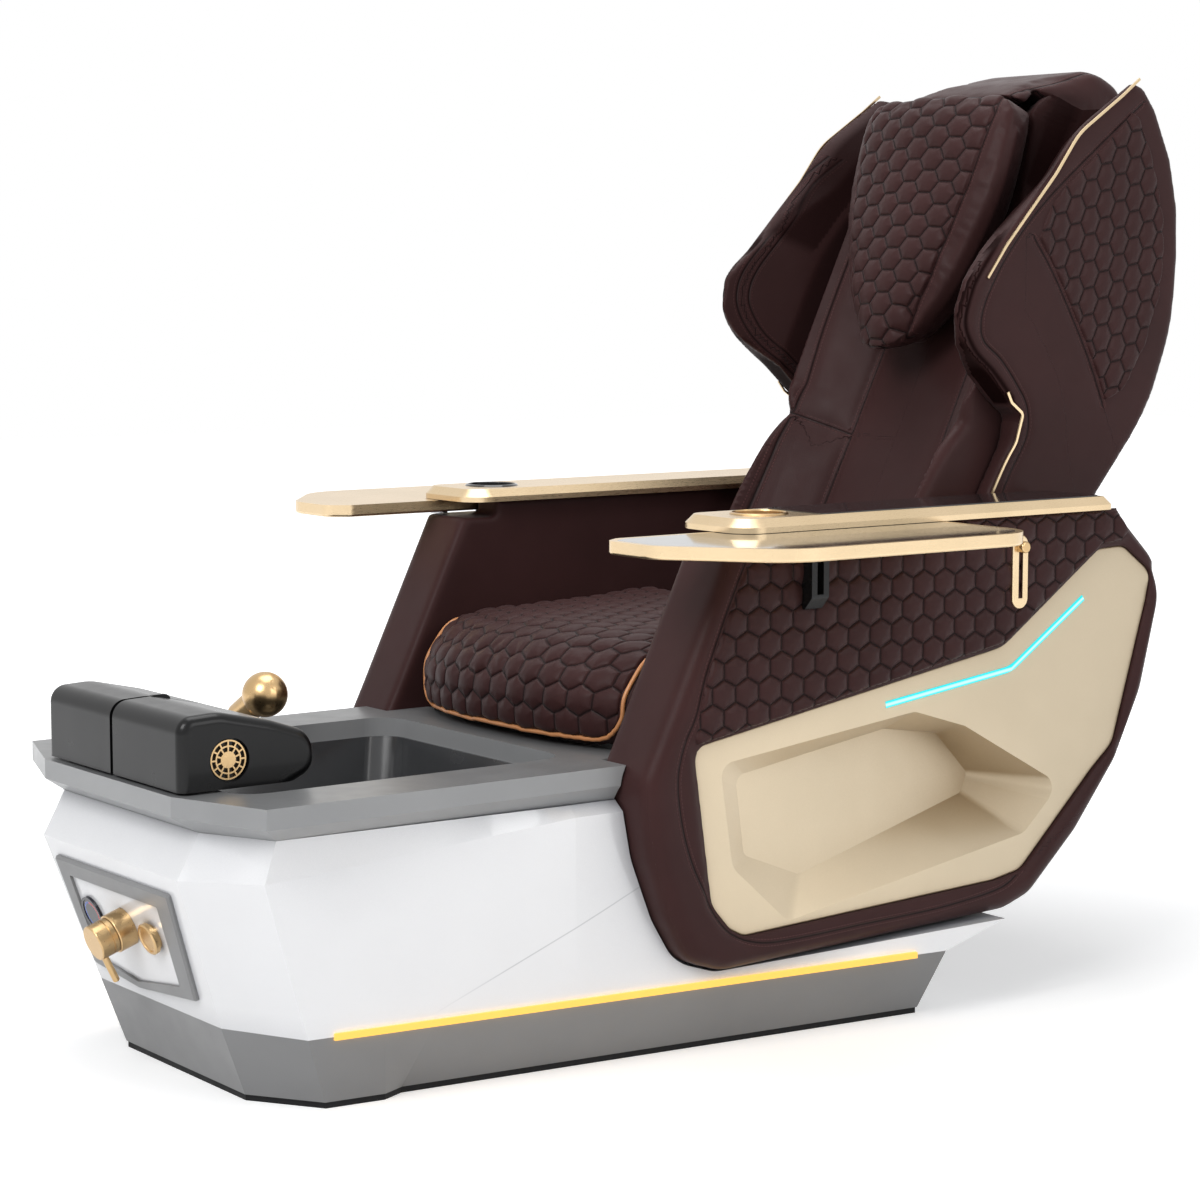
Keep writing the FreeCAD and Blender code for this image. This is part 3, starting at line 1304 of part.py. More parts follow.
def make_back_cushion():
    """Bucket backrest cushion: a lower and an upper field that meet at a cross seam."""
    half = size("back_half") - 1.5
    rear = size("back_frame_depth") - size("seat_fit")
    top = size("back_top")
    cross = size("cross_seam_rise")
    lower = [(8, half - 12, rear - 6, 34, 118, 112), (40, half - 2, rear, 10, 108, 100),
             (200, half, rear, 5, 106, 97), (cross - 70, half, rear, 24, 106, 98),
             (cross, half - 3, rear, 50, 112, 106)]
    upper = [(cross, half - 3, rear, 50, 112, 106), (cross + 45, half, rear, 31, 104, 96),
             (cross + 160, half, rear, 19, 96, 88), (cross + 340, half, rear, 8, 76, 66),
             (cross + 490, half, rear, 4, 62, 52), (top - 36, half - 4, rear, 26, 66, 56),
             (top, half - 16, rear - 4, 54, 80, 72)]
    form = loft([cushion_section(*row) for row in eased(lower, 4)])
    form = form.fuse(loft([cushion_section(*row) for row in eased(upper, 4)]))
    form = form.cut(pillow_form(size("pillow_gap")))
    room = slab([(-186, 60, 20), (186, 60, 20), (186, 880, 20), (-186, 880, 20)], "xz",
                rear - size("back_room_depth"), rear + 1)
    form = form.cut(room)
    shaped("back_cushion", form.removeSplitter(), back_place())


def pillow_section(rise, half, edge, front, rear, grow):
    """Plan outline of the headrest pillow: crowned front, rounded ends and a fairly flat rear."""
    def spot(across, depth):
        return Vec(across, depth, rise)

    half = half + grow
    edge_front = edge - grow
    rear = rear + grow
    middle = (edge_front + rear) / 2
    edges = [
        Part.Arc(spot(-half + 12, edge_front), spot(0, front - grow), spot(half - 12, edge_front)).toShape(),
        Part.Arc(spot(half - 12, edge_front), spot(half, middle), spot(half - 12, rear)).toShape(),
        Part.Arc(spot(half - 12, rear), spot(0, rear + 3), spot(-half + 12, rear)).toShape(),
        Part.Arc(spot(-half + 12, rear), spot(-half, middle), spot(-half + 12, edge_front)).toShape(),
    ]
    return Part.Wire(edges)


def pillow_form(grow):
    low = size("pillow_low")
    high = size("pillow_high")
    wide = size("pillow_half")
    rows = [(low - grow, wide * 0.24, 40, 26, 84), (low + 13, wide * 0.31, 26, 8, 90),
            (low + 68, wide * 0.50, 12, -8, 92), (low + 133, wide * 0.70, 0, -20, 86),
            (low + 213, wide * 0.87, -12, -32, 76), (low + 293, wide * 0.98, -24, -44, 66),
            (low + 383, wide, -38, -58, 52), (high - 13, wide * 0.97, -40, -58, 40),
            (high + grow, wide * 0.92, -28, -44, 28)]
    return loft([pillow_section(*row, grow) for row in eased(rows, 4)])


def make_pillow():
    shaped("headrest_pillow", pillow_form(0), back_place())


def make_hood():
    """Padded cap over the top of the back, hooked over cushion and shell."""
    half = size("hood_half")
    roof = size("back_top") + size("seat_fit")
    front = size("pillow_high") + 5
    side = [(-15, front, 0), (30, 990, 60), (145, 1075, 60), (206, 1075, 50), (246, 1034, 50),
            (290, 980, 40), (304, 926, 0)]
    below = [(-16, front, 0), (24, front + 5, 4), (32, roof, 0), (202, roof, 0), (214, 936, 0),
             (305, 926, 0), (305, 800, 0), (-16, 800, 0)]
    form = slab(side, "yz", -half, half)
    form = soften(form, 24, lambda edge: (reaches(edge, 0, half) or reaches(edge, 0, -half))
                  and edge.BoundBox.ZMax > roof + 1)
    form = form.cut(slab(below, "yz", -half - 1, half + 1))
    shaped("headrest_hood", form, back_place())


WING_SIDE = [(64, 1004, 10), (-8, 888, 200), (-69, 688, 300), (-112, 575, 40), (-103, 520, 30),
             (-60, 487, 40), (20, 468, 60), (80, 449, 30), (113, 444, 12), (125, 401, 40),
             (118, 325, 200), (116, 66, 20), (230, 26, 50), (302, 80, 60), (328, 250, 300),
             (340, 520, 200), (326, 700, 300), (287, 801, 120), (250, 872, 80), (199, 935, 60),
             (131, 989, 40), (91, 1007, 20)]
WING_ROOM = [(60, 582, 12), (300, 582, 12), (296, 690, 30), (252, 800, 30), (200, 880, 30), (60, 880, 12)]
TRIM_ROUTE = [(72, 1012, 0), (50, 971, 60), (-8, 875, 120), (-24, 797, 200), (-69, 652, 200),
              (-82, 590, 0)]
LOW_TRIM_ROUTE = [(62, 463, 0), (79, 453, 8), (111, 448, 12), (128, 405, 30), (122, 325, 100), (120, 110, 0)]


def make_wings():
    """Side wings: a broad ear above the armrest that draws in to a slimmer cheek below it."""
    inner = size("back_half") + size("seat_fit")
    outer = size("wing_outer")
    low_outer = size("wing_low_outer")
    front = [(inner - 5, -100, 0), (low_outer, -100, 0), (low_outer, 385, 250), (outer, 575, 250),
             (outer, 1100, 0), (inner - 5, 1100, 0)]
    wing = slab(WING_SIDE, "yz", inner, outer).common(slab(front, "xz", -200, 400))
    wing = soften(wing, size("wing_edge_radius"), lambda edge: edge.BoundBox.XMin > inner + 1
                  and not along(edge, 1))
    flare = slab([(inner - 5, -130, 0), (outer - 10, -130, 0), (outer - 21, -112, 0), (inner, 10, 0),
                  (inner - 5, 10, 0)], "xy", 300, 1100)
    room = slab(WING_ROOM, "yz", inner - 1, outer - size("wing_wall"))
    wing = wing.cut(flare).cut(room).removeSplitter()
    left = shaped("wing_left", wing, back_place())
    mirrored("wing_right", left)
    proud = size("trim_proud")
    strip = slab(band(TRIM_ROUTE, size("trim_width")), "yz", outer, outer + proud)
    skin = slab([(across + proud, up, radius) for across, up, radius in front], "xz", -200, 400)
    core = slab([(across if across > inner else across - 5, up, radius) for across, up, radius in front],
                "xz", -200, 400)
    edge_strip = slab(band(LOW_TRIM_ROUTE, size("trim_width")), "yz", low_outer - 5, outer)
    edge_strip = edge_strip.common(skin).cut(core)
    strips = group([strip, edge_strip, flip(strip), flip(edge_strip)])
    shaped("wing_trims", strips, back_place())


make_plinth()
make_skirt()
make_shell()
make_rim()
make_basin()
make_drain()
make_jet()
make_base_lights()
make_controls()
make_spout()
make_footrest()
make_seat_base()
make_seat()
make_panels()
make_inserts()
make_armrests()
make_cup_holders()
make_trays()
make_tray_supports()
make_releases()
make_hinges()
make_back_frame()
make_back_shell()
make_back_cushion()
make_pillow()
make_hood()
make_wings()
doc.recompute()

# Nothing is written until every object has come out whole.
for thing in doc.Objects:
    if "Invalid" in thing.State or "Error" in thing.State:
        raise RuntimeError("%s did not build: %s" % (thing.Name, thing.State))
for thing in NODES:
    if thing.Shape.isNull() or not thing.Shape.isValid() or not thing.Shape.Solids:
        raise RuntimeError("%s has no valid solid" % thing.Label)

os.makedirs("parts", exist_ok=True)
for thing in NODES:
    thing.Shape.exportStep("parts/%s.step" % thing.Label)
print("%d pieces written" % len(NODES))
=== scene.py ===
import json
import math

import bpy
import numpy as np
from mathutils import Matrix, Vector
from mathutils.bvhtree import BVHTree


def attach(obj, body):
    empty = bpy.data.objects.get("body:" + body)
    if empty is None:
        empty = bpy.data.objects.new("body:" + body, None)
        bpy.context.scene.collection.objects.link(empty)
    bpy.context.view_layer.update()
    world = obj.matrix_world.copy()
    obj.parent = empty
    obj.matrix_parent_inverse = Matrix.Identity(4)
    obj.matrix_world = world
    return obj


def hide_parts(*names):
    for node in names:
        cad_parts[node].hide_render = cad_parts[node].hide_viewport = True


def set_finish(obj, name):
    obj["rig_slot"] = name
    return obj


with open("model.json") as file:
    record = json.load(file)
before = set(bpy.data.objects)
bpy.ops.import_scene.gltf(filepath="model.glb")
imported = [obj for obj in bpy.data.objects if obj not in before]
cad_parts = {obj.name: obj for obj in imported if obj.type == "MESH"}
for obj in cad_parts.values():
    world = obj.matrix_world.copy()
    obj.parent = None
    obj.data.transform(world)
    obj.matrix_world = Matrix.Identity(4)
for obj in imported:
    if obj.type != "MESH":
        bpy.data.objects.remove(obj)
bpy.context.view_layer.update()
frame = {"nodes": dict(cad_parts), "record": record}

NODES = frame["nodes"]

# ---------------------------------------------------------------- camera, light and floor

CAMERA_PLACE = (3.6012, -2.4578, 1.1286)
CAMERA_AZIMUTH = math.radians(53.68)
CAMERA_DROP = math.radians(6.488)
CAMERA_LENS, CAMERA_SENSOR = 88.32, 36.0
# Name, place, aim, side length and power of each square lamp.
LAMPS = [("key", (1.6, -3.6, 3.6), (0, 0.2, 0.5), 2.2, 128),
         ("side", (4.2, 1.4, 2.4), (0, 0.3, 0.6), 2.4, 46),
         ("top", (-0.4, 0.4, 4.2), (0, 0.4, 0.6), 2.6, 72)]
SOFT_LIGHT = 0.40
FLOOR_HALF = 14.0


def link(obj):
    bpy.context.collection.objects.link(obj)
    return obj


def make_camera():
    data = bpy.data.cameras.new("camera")
    data.lens, data.sensor_width = CAMERA_LENS, CAMERA_SENSOR
    camera = link(bpy.data.objects.new("camera", data))
    look = Vector((-math.sin(CAMERA_AZIMUTH) * math.cos(CAMERA_DROP),
                   math.cos(CAMERA_AZIMUTH) * math.cos(CAMERA_DROP),
                   -math.sin(CAMERA_DROP)))
    camera.location = CAMERA_PLACE
    camera.rotation_mode = "QUATERNION"
    camera.rotation_quaternion = look.to_track_quat("-Z", "Y")
    bpy.context.scene.camera = camera


def make_lamps():
    for name, place, aim, side, power in LAMPS:
        data = bpy.data.lights.new(name, "AREA")
        data.shape, data.size, data.size_y = "RECTANGLE", side, side
        data.energy = power
        lamp = link(bpy.data.objects.new(name, data))
        lamp.location = place
        lamp.rotation_mode = "QUATERNION"
        lamp.rotation_quaternion = (Vector(aim) - Vector(place)).to_track_quat("-Z", "Y")


def make_floor():
    floor = link(bpy.data.objects.new("floor", bpy.data.meshes.new("floor")))
    corners = [(x * FLOOR_HALF, y * FLOOR_HALF, 0) for x, y in ((-1, -1), (1, -1), (1, 1), (-1, 1))]
    floor.data.from_pydata(corners, [], [(0, 1, 2, 3)])
    floor.data.materials.append(floor_paint())


def make_world():
    world = bpy.data.worlds.new("studio")
    bpy.context.scene.world = world
    world.use_nodes = True
    tree = world.node_tree
    tree.nodes.clear()
    soft = tree.nodes.new("ShaderNodeBackground")
    soft.inputs["Color"].default_value = (0.95, 0.97, 1.0, 1)
    soft.inputs["Strength"].default_value = SOFT_LIGHT
    white = tree.nodes.new("ShaderNodeBackground")
    white.inputs["Color"].default_value = (1, 1, 1, 1)
    white.inputs["Strength"].default_value = 1.0
    pick = tree.nodes.new("ShaderNodeMixShader")
    out = tree.nodes.new("ShaderNodeOutputWorld")
    tree.links.new(seen(tree), pick.inputs["Fac"])
    tree.links.new(soft.outputs[0], pick.inputs[1])
    tree.links.new(white.outputs[0], pick.inputs[2])
    tree.links.new(pick.outputs[0], out.inputs["Surface"])


# ---------------------------------------------------------------- materials


class Paint:
    """A node material, built a step at a time."""

    def __init__(self, name):
        self.material = bpy.data.materials.new(name)
        self.material.use_nodes = True
        self.tree = self.material.node_tree
        self.shader = self.tree.nodes["Principled BSDF"]
        self.place = self.node("ShaderNodeTexCoord").outputs["Object"]
        self.height = None

    def node(self, kind, **values):
        made = self.tree.nodes.new(kind)
        for key, value in values.items():
            if hasattr(made, key):
                setattr(made, key, value)
            else:
                made.inputs[key].default_value = value
        return made

    def link(self, start, end):
        self.tree.links.new(start, end)

    def set(self, **values):
        for key, value in values.items():
            self.shader.inputs[key.replace("_", " ")].default_value = value
        return self

    def attribute(self, name):
        return self.node("ShaderNodeAttribute", attribute_name=name).outputs["Fac"]

    def colour(self):
        """What feeds the base colour now."""
        return self.shader.inputs["Base Color"].links[0].from_socket

    def recolour(self, colour):
        self.link(colour, self.shader.inputs["Base Color"])
        return self

    def stretched(self, scale):
        mapping = self.node("ShaderNodeMapping")
        mapping.inputs["Scale"].default_value = scale
        self.link(self.place, mapping.inputs["Vector"])
        return mapping.outputs[0]

    def noise(self, scale, detail=3.0, stretch=None):
        made = self.node("ShaderNodeTexNoise", Scale=scale, Detail=detail)
        self.link(self.stretched(stretch) if stretch else self.place, made.inputs["Vector"])
        return made.outputs["Fac"]

    def cells(self, scale):
        made = self.node("ShaderNodeTexVoronoi", Scale=scale)
        self.link(self.place, made.inputs["Vector"])
        return made.outputs["Distance"]

    def axes(self):
        made = self.node("ShaderNodeSeparateXYZ")
        self.link(self.place, made.inputs[0])
        return made.outputs

    def above(self, start, end):
        """Height over a line through two (y, z) points, in metres."""
        slope = (end[1] - start[1]) / (end[0] - start[0])
        _, y, z = self.axes()
        level = self.sum("ADD", self.sum("MULTIPLY", y, slope), start[1] - slope * start[0])
        return self.sum("SUBTRACT", z, level)

    def painted_hollow_shade(self, reach, low, dark):
        """Paint shade into the colour in hollows, by ambient occlusion."""
        made = self.node("ShaderNodeAmbientOcclusion", Distance=reach)
        made.samples = 6
        share = self.ramp(made.outputs["AO"], low, 1.0, 1, 0)
        return self.recolour(self.mixed(self.colour(), dark, share))

    def ramp(self, value, low, high, first, last):
        made = self.node("ShaderNodeMapRange")
        made.inputs["From Min"].default_value, made.inputs["From Max"].default_value = low, high
        made.inputs["To Min"].default_value, made.inputs["To Max"].default_value = first, last
        self.link(value, made.inputs["Value"])
        return made.outputs["Result"]

    def sum(self, operation, first, second=None):
        made = self.node("ShaderNodeMath", operation=operation)
        for socket, value in zip(made.inputs, (first, second)):
            if isinstance(value, (int, float)):
                socket.default_value = value
            elif value is not None:
                self.link(value, socket)
        return made.outputs[0]

    def mixed(self, first, second, share):
        made = self.node("ShaderNodeMix", data_type="RGBA")
        # A colour mix has its factor in socket 0, its colours in 6 and 7 and its result in 2.
        self.link(share, made.inputs[0])
        self.link(first, made.inputs[6])
        made.inputs[7].default_value = (*second, 1)
        return made.outputs[2]

    def tinted(self, value, low, high, dark, light):
        made = self.node("ShaderNodeValToRGB")
        made.color_ramp.elements[0].position, made.color_ramp.elements[1].position = low, high
        made.color_ramp.elements[0].color = (*dark, 1)
        made.color_ramp.elements[1].color = (*light, 1)
        self.link(value, made.inputs["Fac"])
        return self.recolour(made.outputs["Color"])

    def rough(self, value, low, high, first, last):
        self.link(self.ramp(value, low, high, first, last), self.shader.inputs["Roughness"])
        return self

    def bump(self, value, distance, strength=1.0):
        made = self.node("ShaderNodeBump", Strength=strength, Distance=distance)
        self.link(value, made.inputs["Height"])
        if self.height:
            self.link(self.height, made.inputs["Normal"])
        self.height = made.outputs["Normal"]
        self.link(self.height, self.shader.inputs["Normal"])
        return self


def hex_border(paint):
    """Distance to the nearest border between quilted hexagons, in widths, from the mesh's marks."""
    def off_centre(name):
        spot = paint.attribute(name)
        return paint.sum("ABSOLUTE", paint.sum("SUBTRACT", spot, paint.sum("ROUND", spot)))

    def reach(across, upward):
        slanted = paint.sum("ADD", paint.sum("MULTIPLY", across, 0.5),
                            paint.sum("MULTIPLY", upward, 1.5))
        return paint.sum("MAXIMUM", across, slanted)

    across, upward = off_centre("hex_across"), off_centre("hex_up")
    near = reach(across, upward)
    shifted = reach(paint.sum("SUBTRACT", 0.5, across), paint.sum("SUBTRACT", 0.5, upward))
    return paint.sum("SUBTRACT", 0.5, paint.sum("MINIMUM", near, shifted))


LEATHER_SHINE, LEATHER_SHEEN = 0.09, 0.04
# In metres: a row of stitches runs beside each seam, one stitch to a length.
STITCH_OFFSET, STITCH_LENGTH = 0.0048, 0.0058


def leather(name, dark, light):
    """Grained leather, whose mesh marks how far off a seam, a fold or a hollow each point is; shade
    is painted into its seam grooves, quilt creases, folds and hollows.
    """
    paint = Paint(name)
    paint.set(Sheen_Roughness=0.5)
    gap = paint.sum("ABSOLUTE", paint.sum("SUBTRACT", paint.attribute("seam"), 1.0))
    crease = paint.ramp(gap, 0.0004, 0.0019, 1, 0)
    beside = paint.sum("ABSOLUTE", paint.sum("SUBTRACT", gap, STITCH_OFFSET))
    row = paint.ramp(beside, 0.0004, 0.0008, 1, 0)
    dash = paint.sum("FRACT", paint.sum("DIVIDE", paint.attribute("run"), STITCH_LENGTH))
    thread = paint.sum("MULTIPLY", row, paint.ramp(dash, 0.60, 0.66, 1, 0))
    paint.tinted(paint.noise(7.0, 4.0), 0.3, 0.7, dark, light)
    border = hex_border(paint)
    # Painted shade: the colour darkens in seam grooves and in the creases between quilted hexagons.
    painted_crease_shade = paint.sum("MAXIMUM", crease, paint.ramp(border, 0.012, 0.050, 0.9, 0))
    colour = paint.mixed(paint.colour(), tuple(0.25 * c for c in dark), painted_crease_shade)
    colour = paint.mixed(colour, tuple(1.7 * c for c in light), thread)
    # Painted shade: the colour darkens in folds and in hollows that the mesh marks.
    off_fold = paint.sum("ABSOLUTE", paint.sum("SUBTRACT", paint.attribute("fold"), 1.0))
    fold = paint.ramp(off_fold, 0.0012, 0.0060, 0.85, 0)
    shade = paint.sum("MAXIMUM", fold, paint.sum("MULTIPLY", paint.attribute("painted_shade"), 0.8))
    paint.recolour(paint.mixed(colour, tuple(0.2 * c for c in dark), shade))
    # Where shade is painted, the specular and the sheen go down too, or it would look grey.
    for socket, level, least in (("Specular IOR Level", LEATHER_SHINE, 0.01),
                                 ("Sheen Weight", LEATHER_SHEEN, 0)):
        paint.link(paint.ramp(shade, 0, 0.8, level, least), paint.shader.inputs[socket])
    paint.rough(paint.noise(30.0, 3.0), 0.3, 0.7, 0.36, 0.46)
    paint.bump(paint.cells(620.0), 0.00016, 0.5)
    paint.bump(paint.noise(160.0, 4.0), 0.00025, 0.3)
    paint.bump(paint.ramp(gap, 0.0002, 0.0024, 0, 1), 0.0011, 1.0)
    paint.bump(paint.ramp(border, 0.0, 0.075, 0, 1), 0.0016, 1.0)
    paint.bump(thread, 0.0004, 0.8)
    return paint.material


def metal(name, dark, light, smooth, dull, brushed=None, scratch=0.00003):
    paint = Paint(name)
    paint.set(Metallic=1.0)
    paint.tinted(paint.noise(9.0, 3.0), 0.35, 0.65, dark, light)
    grain = paint.noise(60.0, 5.0, brushed) if brushed else paint.noise(240.0, 4.0)
    paint.rough(grain, 0.3, 0.7, smooth, dull)
    paint.bump(grain, scratch, 0.4)
    return paint.material


def plastic(name, dark, light, smooth, dull, grain=0.0, coat=0.0, specular=0.5):
    paint = Paint(name)
    paint.set(Specular_IOR_Level=specular, Coat_Weight=coat, Coat_Roughness=0.06)
    paint.tinted(paint.noise(5.0, 3.0), 0.3, 0.7, dark, light)
    paint.rough(paint.noise(24.0, 4.0), 0.3, 0.7, smooth, dull)
    if grain:
        paint.bump(paint.noise(700.0, 2.0), grain, 0.5)
    else:
        paint.bump(paint.noise(60.0, 2.0), 0.00004, 0.3)
    return paint.material


def seen(tree):
    """1 for the camera's rays, and for those that metal and glass send on to the background."""
    rays = tree.nodes.new("ShaderNodeLightPath")
    total = rays.outputs["Is Camera Ray"]
    for name in ("Is Glossy Ray", "Is Transmission Ray"):
        either = tree.nodes.new("ShaderNodeMath")
        either.operation = "MAXIMUM"
        tree.links.new(total, either.inputs[0])
        tree.links.new(rays.outputs[name], either.inputs[1])
        total = either.outputs[0]
    return total


def glow(name, colour, strength, cast_strength, route=None, core_colour=None):
    """A lit strip, whose light on what is beside it has a strength of its own."""
    paint = Paint(name)
    low, high = (tuple(share * c for c in colour) for share in (0.15, 0.2))
    paint.tinted(paint.noise(40.0, 2.0), 0.3, 0.7, low, high)
    paint.set(Emission_Color=(*colour, 1), Roughness=0.4, Specular_IOR_Level=0.2)
    level = paint.ramp(seen(paint.tree), 0, 1, cast_strength, strength)
    paint.link(level, paint.shader.inputs["Emission Strength"])
    if route:
        # The middle of the strip is paler, along a line with one bend.
        over = paint.sum("MINIMUM", paint.above(*route[:2]), paint.above(*route[1:]))
        middle = paint.sum("ABSOLUTE", over)
        plain = paint.node("ShaderNodeRGB")
        plain.outputs[0].default_value = (*colour, 1)
        tint = paint.mixed(plain.outputs[0], core_colour, paint.ramp(middle, 0.0010, 0.0034, 1, 0))
        paint.link(tint, paint.shader.inputs["Emission Color"])
    return paint.material


SHELL_CREASE_LINE = ((-0.323, 0.121), (0.0, 0.258))


def shell(name, dark, light):
    """Glossy white, with painted shade in a fine line up each side where a crease would be, and
    painted shade in hollows.
    """
    paint = Paint(name)
    paint.set(Coat_Weight=0.4, Coat_Roughness=0.06)
    paint.tinted(paint.noise(5.0, 3.0), 0.3, 0.7, dark, light)
    paint.rough(paint.noise(24.0, 4.0), 0.3, 0.7, 0.12, 0.20)
    over = paint.above(*SHELL_CREASE_LINE)
    paint.bump(paint.noise(60.0, 2.0), 0.00004, 0.3)
    # Painted shade along the crease line, which fades out towards the front.
    line = paint.ramp(paint.sum("ABSOLUTE", over), 0.0003, 0.0016, 0.5, 0)
    _, y, _ = paint.axes()
    line = paint.sum("MULTIPLY", line, paint.ramp(y, -0.330, -0.200, 0, 1))
    paint.recolour(paint.mixed(paint.colour(), (0.35, 0.36, 0.38), line))
    return paint.painted_hollow_shade(0.14, 0.35, (0.42, 0.43, 0.46)).material


def moulded(name, dark, light, hollow):
    """Pale champagne moulding, with painted shade in its niche, and darker towards the rear."""
    paint = Paint(name)
    paint.set(Coat_Weight=0.15, Coat_Roughness=0.2, Metallic=0.35)
    paint.tinted(paint.noise(5.0, 3.0), 0.3, 0.7, dark, light)
    paint.rough(paint.noise(24.0, 4.0), 0.3, 0.7, 0.32, 0.40)
    paint.bump(paint.noise(700.0, 2.0), 0.00003, 0.5)
    # The colour darkens towards the rear.
    _, y, _ = paint.axes()
    share = paint.ramp(y, 0.30, 1.0, 0, 0.42)
    paint.recolour(paint.mixed(paint.colour(), tuple(0.5 * c for c in dark), share))
    # Painted shade in the niche, by ambient occlusion.
    return paint.painted_hollow_shade(0.16, 0.28, hollow).material


def satin_top_shaded(name, dark, light, flat):
    """Satin grey, with painted shade on the faces that point up, so that they are darker than its
    upright faces.
    """
    paint = Paint(name)
    paint.tinted(paint.noise(5.0, 3.0), 0.3, 0.7, dark, light)
    paint.rough(paint.noise(24.0, 4.0), 0.3, 0.7, 0.28, 0.36)
    paint.bump(paint.noise(700.0, 2.0), 0.00005, 0.5)
    facing_up = paint.node("ShaderNodeSeparateXYZ")
    paint.link(paint.node("ShaderNodeNewGeometry").outputs["Normal"], facing_up.inputs[0])
    # Painted shade: faces that point up take the darker colour.
    share = paint.ramp(facing_up.outputs["Z"], 0.55, 0.95, 0, 1)
    return paint.recolour(paint.mixed(paint.colour(), flat, share)).material


DIAL_CENTRE, DIAL_RING = (-0.108, -0.619, 0.219), 0.0185


def dial(name):
    """A dark round face, with a red arc on one half and a blue arc on the other."""
    paint = Paint(name)
    paint.set(Coat_Weight=0.3, Coat_Roughness=0.1, Specular_IOR_Level=0.3)
    paint.tinted(paint.noise(60.0, 2.0), 0.3, 0.7, (0.006, 0.007, 0.014), (0.010, 0.012, 0.022))
    axes = list(paint.axes())
    offsets = [paint.sum("POWER", paint.sum("SUBTRACT", axis, middle), 2.0)
               for axis, middle in zip(axes, DIAL_CENTRE)]
    total = paint.sum("ADD", paint.sum("ADD", offsets[0], offsets[1]), offsets[2])
    off_ring = paint.sum("ABSOLUTE", paint.sum("SUBTRACT", paint.sum("SQRT", total), DIAL_RING))
    ring = paint.ramp(off_ring, 0.0010, 0.0018, 1, 0)
    right = paint.ramp(axes[0], DIAL_CENTRE[0] - 0.0005, DIAL_CENTRE[0] + 0.0005, 0, 1)
    left = paint.sum("SUBTRACT", 1.0, right)
    for half, arc in ((right, (0.55, 0.015, 0.02)), (left, (0.03, 0.09, 0.42))):
        paint.recolour(paint.mixed(paint.colour(), arc, paint.sum("MULTIPLY", ring, half)))
    paint.rough(paint.noise(90.0, 2.0), 0.3, 0.7, 0.14, 0.20)
    return paint.material


def floor_paint():
    """A pale floor, which turns white away from the chair and keeps its shadow."""
    paint = Paint("floor_pale")
    paint.tinted(paint.noise(0.6, 2.0), 0.3, 0.7, (0.80, 0.80, 0.80), (0.82, 0.82, 0.82))
    paint.set(Roughness=0.9, Specular_IOR_Level=0.0, Emission_Color=(1, 1, 1, 1))
    far = paint.node("ShaderNodeVectorMath", operation="LENGTH")
    paint.link(paint.place, far.inputs[0])
    level = paint.ramp(far.outputs["Value"], 1.0, 3.2, 0.40, 1.0)
    strength = paint.sum("MULTIPLY", level, seen(paint.tree))
    paint.link(strength, paint.shader.inputs["Emission Strength"])
    return paint.material


LOOKS = {
    "shell_white": shell("shell_white", (0.84, 0.84, 0.85), (0.87, 0.87, 0.88)),
    "rim_grey": satin_top_shaded("rim_grey", (0.275, 0.278, 0.282), (0.305, 0.308, 0.312),
                      (0.150, 0.152, 0.155)),
    "skirt_grey": plastic("skirt_grey", (0.205, 0.205, 0.207), (0.235, 0.235, 0.237),
                          0.32, 0.42, grain=0.00005),
    "plinth_black": plastic("plinth_black", (0.006, 0.006, 0.007), (0.010, 0.010, 0.011),
                            0.5, 0.65, grain=0.0001, specular=0.2),
    "basin_grey": plastic("basin_grey", (0.034, 0.035, 0.037), (0.043, 0.044, 0.047),
                          0.18, 0.28, coat=0.2),
    "drain_chrome": metal("drain_chrome", (0.72, 0.72, 0.74), (0.80, 0.80, 0.82), 0.08, 0.16),
    "jet_black": plastic("jet_black", (0.012, 0.012, 0.013), (0.020, 0.020, 0.022),
                         0.38, 0.5, grain=0.0001),
    "light_amber": glow("light_amber", (1.0, 0.56, 0.11), 1.2, 4.0),
    "light_cyan": glow("light_cyan", (0.02, 0.74, 0.82), 1.1, 4.0,
                       ((0.423, 0.485), (0.677, 0.518), (0.829, 0.617)), (0.62, 1.0, 1.0)),
    "alloy_black": plastic("alloy_black", (0.010, 0.010, 0.011), (0.018, 0.018, 0.019),
                           0.34, 0.46, grain=0.00006),
    "piping_copper": plastic("piping_copper", (0.52, 0.21, 0.075), (0.60, 0.26, 0.10),
                             0.30, 0.42, grain=0.00005),
    "disc_face": dial("disc_face"),
    "gold_polished": metal("gold_polished", (0.56, 0.38, 0.19), (0.61, 0.42, 0.215),
                           0.27, 0.31, scratch=0.000004),
    "gold_satin": metal("gold_satin", (0.70, 0.54, 0.335), (0.745, 0.575, 0.365),
                        0.26, 0.32, brushed=(30, 1.2, 30)),
    "insert_gold": moulded("insert_gold", (0.68, 0.565, 0.395), (0.73, 0.605, 0.425),
                           (0.30, 0.205, 0.105)),
    "inlay_black": plastic("inlay_black", (0.014, 0.014, 0.015), (0.020, 0.020, 0.021),
                           0.06, 0.12, coat=0.5),
    "pad_black": plastic("pad_black", (0.0030, 0.0030, 0.0033), (0.0050, 0.0050, 0.0054),
                         0.27, 0.32, coat=0.12, specular=0.2),
    "steel_dark": plastic("steel_dark", (0.006, 0.006, 0.0065), (0.010, 0.010, 0.0105),
                          0.18, 0.28, specular=0.25),
    "steel_plain": metal("steel_plain", (0.50, 0.50, 0.52), (0.60, 0.60, 0.62),
                         0.22, 0.34, brushed=(60, 2, 60)),
    "leather_brown": leather("leather_brown", (0.038, 0.0155, 0.0150), (0.047, 0.0190, 0.0185)),
    "leather_shell": plastic("leather_shell", (0.030, 0.015, 0.013), (0.038, 0.019, 0.016),
                             0.42, 0.55, grain=0.0002),
}


